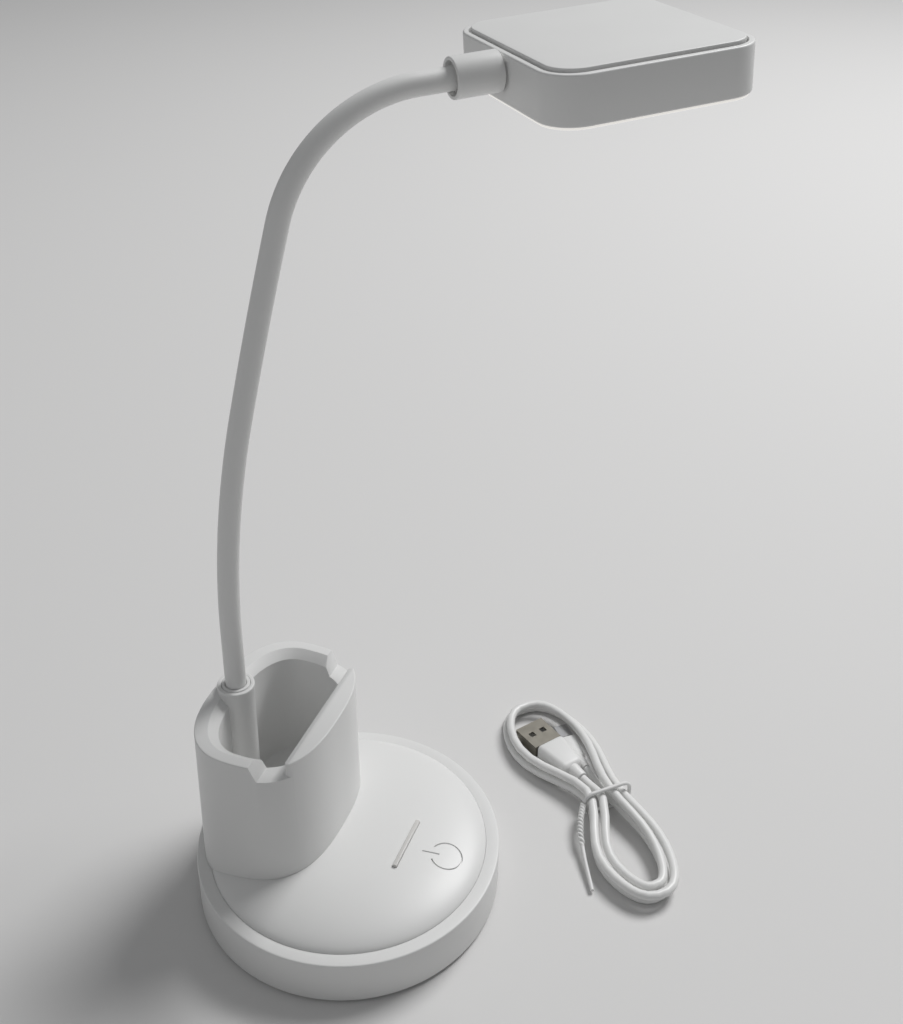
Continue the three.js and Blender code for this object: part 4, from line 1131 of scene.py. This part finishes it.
# %% [markdown]
# ## The head
# The head is a shallow square box with large round corners. Its top is a separate plate that sits
# behind a narrow groove, and below it a frosted diffuser stands a little proud. Each is a block with
# its upright edges bevelled into the same corner, and smaller ones of the kind cut the groove and
# the hollow.

# %% The head's place
HEAD_LENGTH = 64.5
HEAD_WIDTH = 66
HEAD_HIGH = 14.5
COLLAR_LENGTH = 14.5
COLLAR_RISE = 1.4
HEAD_PITCH = math.radians(-4.2)
HEAD_YAW = math.radians(-1.3)
HEAD_ROLL = math.radians(-0.2)

end_place, end_tilt = neck_place(NECK_LENGTH)
mount_turn = end_tilt - math.pi / 2
HEAD = (
    Matrix.Scale(MM, 4)
    @ NECK
    @ Matrix.Translation(end_place)
    @ Matrix.Rotation(mount_turn, 4, "Y")
    @ Euler((HEAD_ROLL, HEAD_PITCH - mount_turn, HEAD_YAW), "XYZ").to_matrix().to_4x4()
    @ Matrix.Translation((COLLAR_LENGTH, 0, -COLLAR_RISE))
)
print("the head's back wall is at", tuple(round(v, 4) for v in HEAD.translation))

# %% A plate with round corners
HEAD_CORNER = 10.5
CORNER_STEPS = 14
HEAD_TOP = HEAD_HIGH / 2


def round_plate(name, inset, low, high):
    """A plate with the head's outline drawn in by an inset, between two heights."""
    piece = add_block(
        name,
        (inset, inset - HEAD_WIDTH / 2, low),
        (HEAD_LENGTH - inset, HEAD_WIDTH / 2 - inset, high),
    )
    return round_along(piece, 2, HEAD_CORNER - inset, CORNER_STEPS)


def wear_on_head(piece, slot, node):
    """Puts a piece that was made level into the head's place."""
    piece.matrix_world = HEAD
    wear(smooth(piece, 40), "head", slot, node)


print("the head is", HEAD_LENGTH, "by", HEAD_WIDTH, "by", HEAD_HIGH, "mm")

# %% The housing of the head
SHELL_ROUND = 0.6
SHELL_WALL = 1.8
SHELL_ROOF = 3.4
RIM_DROP = 0.7
PLATE_INSET = 2.4
PLATE_SEAT = 2.2
GROOVE = 0.7

shell = round_plate("head_shell", 0, -HEAD_TOP, HEAD_TOP - RIM_DROP)
round_edges(shell, SHELL_ROUND, 4, 60)
cut(shell, round_plate("plate_seat", PLATE_INSET - GROOVE, HEAD_TOP - PLATE_SEAT, HEAD_TOP + PAST))
cut(shell, round_plate("inside", SHELL_WALL, -HEAD_TOP - PAST, HEAD_TOP - SHELL_ROOF))
wear_on_head(shell, "shell", "head_housing")

# %% The top plate and the diffuser
PLATE_LOW = HEAD_TOP - 1.9
PLATE_STAND = 0.3
DIFFUSER_INSET = 0.7
DIFFUSER_STAND = 0.8
DIFFUSER_TOP = -HEAD_TOP - 0.02
THIN_ROUND = 0.35

plate = round_plate("top_plate", PLATE_INSET, PLATE_LOW, HEAD_TOP + PLATE_STAND)
wear_on_head(round_edges(plate, THIN_ROUND, 4, 60), "shell", "head_top_plate")
diffuser = round_plate("diffuser_panel", DIFFUSER_INSET, -HEAD_TOP - DIFFUSER_STAND, DIFFUSER_TOP)
wear_on_head(round_edges(diffuser, THIN_ROUND, 4, 60), "diffuser", "diffuser")

# %% [markdown]
# A stub collar on the back of the head takes the neck's end. It is round, so it is turned as the
# base was and then laid on its side. Its mouth opens a little round the neck, and a thinner root
# leaves a narrow groove before the head's wall.

# %% The collar
COLLAR_RADIUS = 5.8
COLLAR_MOUTH = 4.75
COLLAR_BORE = SLEEVE_RADIUS + 0.35
COLLAR_STOP = 10.3
COLLAR_ROOT = 4.6
ROOT_START = COLLAR_LENGTH - 0.8
ROOT_END = COLLAR_LENGTH + 0.2
MOUTH_EDGE = 0.2
COLLAR_EDGE = 0.35

collar = turned("collar", [
    (0, COLLAR_STOP),
    (COLLAR_BORE, COLLAR_STOP),
    (COLLAR_BORE, 2.6),
    (COLLAR_MOUTH, 2),
    *corner((COLLAR_MOUTH + MOUTH_EDGE, MOUTH_EDGE), MOUTH_EDGE, 180, 270, 4),
    *corner((COLLAR_RADIUS - COLLAR_EDGE, COLLAR_EDGE), COLLAR_EDGE, -90, 0, 5),
    (COLLAR_RADIUS, ROOT_START),
    (COLLAR_ROOT, ROOT_START),
    (COLLAR_ROOT, ROOT_END),
    (0, ROOT_END),
], SMALL_ROUNDS)
collar.matrix_world = (
    HEAD
    @ Matrix.Translation((-COLLAR_LENGTH, 0, COLLAR_RISE))
    @ Matrix.Rotation(math.pi / 2, 4, "Y")
    @ Matrix.Scale(1 / MM, 4)
)
wear(smooth(collar), "head", "shell", "head_collar")

# %% [markdown]
# ## Finishes
# Nearly everything is white plastic, but no two pieces have quite the same surface: the housings are
# satin with a very fine spark grain, the sleeve is softer and smoother, and the lead is shinier.
# The grain is one node group, placed in each material with its own scale and gloss.

# %% The grain, as a node group
NUMBER, COLOUR = "NodeSocketFloat", "NodeSocketColor"


def add_group(name, inputs, outputs):
    """A node group with its named sockets, and the two nodes that they show on inside."""
    group = bpy.data.node_groups.new(name, "ShaderNodeTree")
    for in_out, sockets in (("INPUT", inputs), ("OUTPUT", outputs)):
        for label, kind in sockets.items():
            group.interface.new_socket(label, in_out=in_out, socket_type=kind)
    return group, group.nodes.new("NodeGroupInput"), group.nodes.new("NodeGroupOutput")


def fill(node, values):
    """Sets a node's inputs by their names."""
    for label, value in values.items():
        node.inputs[label].default_value = value


def grain_group():
    """Fine moulded grain: a height for the bump, and a slow mottle that varies the gloss."""
    inputs = dict.fromkeys(("Grain scale", "Mottle scale", "Gloss low", "Gloss high"), NUMBER)
    outputs = {"Height": NUMBER, "Roughness": NUMBER}
    group, give, take_out = add_group("moulded_grain", inputs, outputs)
    nodes, links = group.nodes, group.links
    place = nodes.new("ShaderNodeTexCoord")
    grain = nodes.new("ShaderNodeTexNoise")
    mottle = nodes.new("ShaderNodeTexNoise")
    fill(grain, {"Detail": 3})
    fill(mottle, {"Detail": 4})
    spread = nodes.new("ShaderNodeMapRange")
    links.new(place.outputs["Object"], grain.inputs["Vector"])
    links.new(place.outputs["Object"], mottle.inputs["Vector"])
    links.new(give.outputs["Grain scale"], grain.inputs["Scale"])
    links.new(give.outputs["Mottle scale"], mottle.inputs["Scale"])
    links.new(mottle.outputs["Fac"], spread.inputs["Value"])
    links.new(give.outputs["Gloss low"], spread.inputs["To Min"])
    links.new(give.outputs["Gloss high"], spread.inputs["To Max"])
    links.new(grain.outputs["Fac"], take_out.inputs["Height"])
    links.new(spread.outputs["Result"], take_out.inputs["Roughness"])
    return group


GRAIN = grain_group()
print("node group", GRAIN.name, "made")

# %% [markdown]
# A slow change of tint keeps a large white surface from looking like paint. It mixes two close
# colours by a wide noise.

# %% The tint, as a node group
def tint_group():
    """Two close colours, mixed by a wide noise."""
    inputs = {"Scale": NUMBER, "Second": COLOUR, "First": COLOUR}
    group, give, take_out = add_group("slow_tint", inputs, {"Color": COLOUR})
    nodes, links = group.nodes, group.links
    place = nodes.new("ShaderNodeTexCoord")
    noise = nodes.new("ShaderNodeTexNoise")
    fill(noise, {"Detail": 2})
    mix = nodes.new("ShaderNodeMix")
    mix.data_type = "RGBA"
    links.new(place.outputs["Object"], noise.inputs["Vector"])
    links.new(give.outputs["Scale"], noise.inputs["Scale"])
    links.new(noise.outputs["Fac"], mix.inputs["Factor"])
    links.new(give.outputs["First"], mix.inputs[6])
    links.new(give.outputs["Second"], mix.inputs[7])
    links.new(mix.outputs[2], take_out.inputs["Color"])
    return group


TINT = tint_group()
print("node group", TINT.name, "made")

# %% A plastic or metal finish
FINE = 0.00001
COARSE = 0.00003
TINT_SCALE = 14


def finish_of(name, first, second, gloss, grain_scale, height=FINE, metallic=0.0, mottle=60.0):
    """A finish with its own colours, gloss range and grain. Colours are linear."""
    material = bpy.data.materials.new(name)
    material.use_nodes = True
    nodes, links = material.node_tree.nodes, material.node_tree.links
    surface = nodes["Principled BSDF"]
    fill(surface, {"Metallic": metallic})
    grain = nodes.new("ShaderNodeGroup")
    grain.node_tree = GRAIN
    fill(grain, {"Grain scale": grain_scale, "Mottle scale": mottle})
    fill(grain, {"Gloss low": gloss[0], "Gloss high": gloss[1]})
    tint = nodes.new("ShaderNodeGroup")
    tint.node_tree = TINT
    fill(tint, {"Scale": TINT_SCALE, "First": (*first, 1), "Second": (*second, 1)})
    bump = nodes.new("ShaderNodeBump")
    fill(bump, {"Strength": 1, "Distance": height})
    links.new(grain.outputs["Height"], bump.inputs["Height"])
    links.new(grain.outputs["Roughness"], surface.inputs["Roughness"])
    links.new(tint.outputs["Color"], surface.inputs["Base Color"])
    links.new(bump.outputs["Normal"], surface.inputs["Normal"])
    return material


def lit_finish(material, colour, strength):
    """The same finish with a soft light of its own."""
    surface = material.node_tree.nodes["Principled BSDF"]
    fill(surface, {"Emission Color": (*colour, 1), "Emission Strength": strength})


print("the grain stands", round(FINE / MM, 3), "mm high on most finishes")

# %% [markdown]
# Each finish has two close colours, a range of gloss from shiny to dull, and the grain's scale. The
# diffuser lets most of the light through, so its own colour is greyer than the plastic's, and the
# glow of the light behind it makes up for that.

# %% The lamp's finishes
WHITE = (0.80, 0.80, 0.79)
finishes = {
    "shell": finish_of("satin_plastic", WHITE, (0.78, 0.78, 0.775), (0.36, 0.46), 1500),
    "sleeve": finish_of("soft_sleeve", (0.78, 0.78, 0.77), (0.76, 0.76, 0.755), (0.42, 0.52), 1100),
    "cord": finish_of("lead_plastic", (0.82, 0.82, 0.81), WHITE, (0.30, 0.40), 700),
    "board": finish_of("circuit_board", (0.75, 0.76, 0.73), (0.70, 0.72, 0.69), (0.4, 0.5), 500),
    "pad": finish_of(
        "foot_rubber", (0.03, 0.03, 0.032), (0.022, 0.022, 0.024), (0.75, 0.9), 400,
        height=COARSE,
    ),
    "steel": finish_of(
        "plain_steel", (0.55, 0.55, 0.56), (0.48, 0.48, 0.49), (0.25, 0.4), 900,
        metallic=1.0,
    ),
    "plug_metal": finish_of(
        "plug_shell_metal", (0.40, 0.38, 0.33), (0.33, 0.31, 0.27), (0.32, 0.5), 500,
        metallic=1.0, mottle=300,
    ),
    "insert": finish_of(
        "plug_insert_plastic", (0.80, 0.80, 0.78), (0.76, 0.76, 0.75), (0.4, 0.5), 900,
    ),
    "cell": finish_of("cell_sleeve", (0.12, 0.21, 0.37), (0.10, 0.18, 0.33), (0.3, 0.45), 600),
    "diffuser": finish_of(
        "frosted_diffuser", (0.35, 0.35, 0.345), (0.33, 0.33, 0.325), (0.3, 0.4), 1500,
    ),
    # The strip's colour is greyer than the plastic's. That grey is painted shade, standing in for the
    # shade on the strip's sides.
    "strip": finish_of("smoky_strip", (0.68, 0.67, 0.65), (0.64, 0.63, 0.61), (0.2, 0.3), 1500),
}
lit_finish(finishes["diffuser"], (1, 0.97, 0.92), 0.63)
print(len(finishes), "finishes made")

# %% Give each piece its finish
slot_of = {row["node"]: row["material_slot"] for row in frame["record"]["subparts"]}
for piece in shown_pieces():
    slot = piece.get("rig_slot") or slot_of.get(piece.name, "shell")
    piece.data.materials.clear()
    # The strip takes the greyer finish with its painted shade, in place of its slot's finish.
    piece.data.materials.append(finishes["strip" if piece.name == "strip" else slot])

# %% [markdown]
# ## Floor and light
# The lamp stands on a plain pale table. The floor is a large plane that the camera sees as the
# backdrop too. The main light is soft and hangs behind the lamp to its right, so the walls that face
# the camera are softly shaded. A weak one on the left and an even room keep that shade pale.

# %% Floor
FLOOR_SIZE = 12
FLOOR_COLOUR = (0.72, 0.715, 0.71, 1)


def add_floor():
    """A large plain table that isn't part of the lamp."""
    bpy.ops.mesh.primitive_plane_add(size=FLOOR_SIZE)
    floor = named("floor")
    material = bpy.data.materials.new("pale_table")
    material.use_nodes = True
    surface = material.node_tree.nodes["Principled BSDF"]
    fill(surface, {"Base Color": FLOOR_COLOUR, "Roughness": 0.7, "Specular IOR Level": 0.2})
    floor.data.materials.append(material)
    return floor


add_floor()
print("floor added")

# %% Light
AIM = Vector((0, 0, 0.1))
ROOM_COLOUR = (0.97, 0.985, 1.0, 1)
ROOM_LIGHT = 0.21


def add_soft_lamp(name, place, size, power):
    """A round soft lamp that looks at the object."""
    bpy.ops.object.light_add(type="AREA", location=place)
    lamp = bpy.context.object
    lamp.name = name
    lamp.data.shape = "DISK"
    lamp.data.size = size
    lamp.data.energy = power
    lamp.rotation_euler = (AIM - Vector(place)).to_track_quat("-Z", "Y").to_euler()
    return lamp


add_soft_lamp("key", place=(1.25, -0.6, 1.75), size=1.0, power=35.5)
add_soft_lamp("side", place=(-0.9, 0.8, 1.1), size=1.2, power=1.5)
world = bpy.data.worlds.new("room")
bpy.context.scene.world = world
world.use_nodes = True
fill(world.node_tree.nodes["Background"], {"Color": ROOM_COLOUR, "Strength": ROOM_LIGHT})
bpy.context.scene.view_settings.view_transform = "Standard"
print("two soft lamps and an even world")
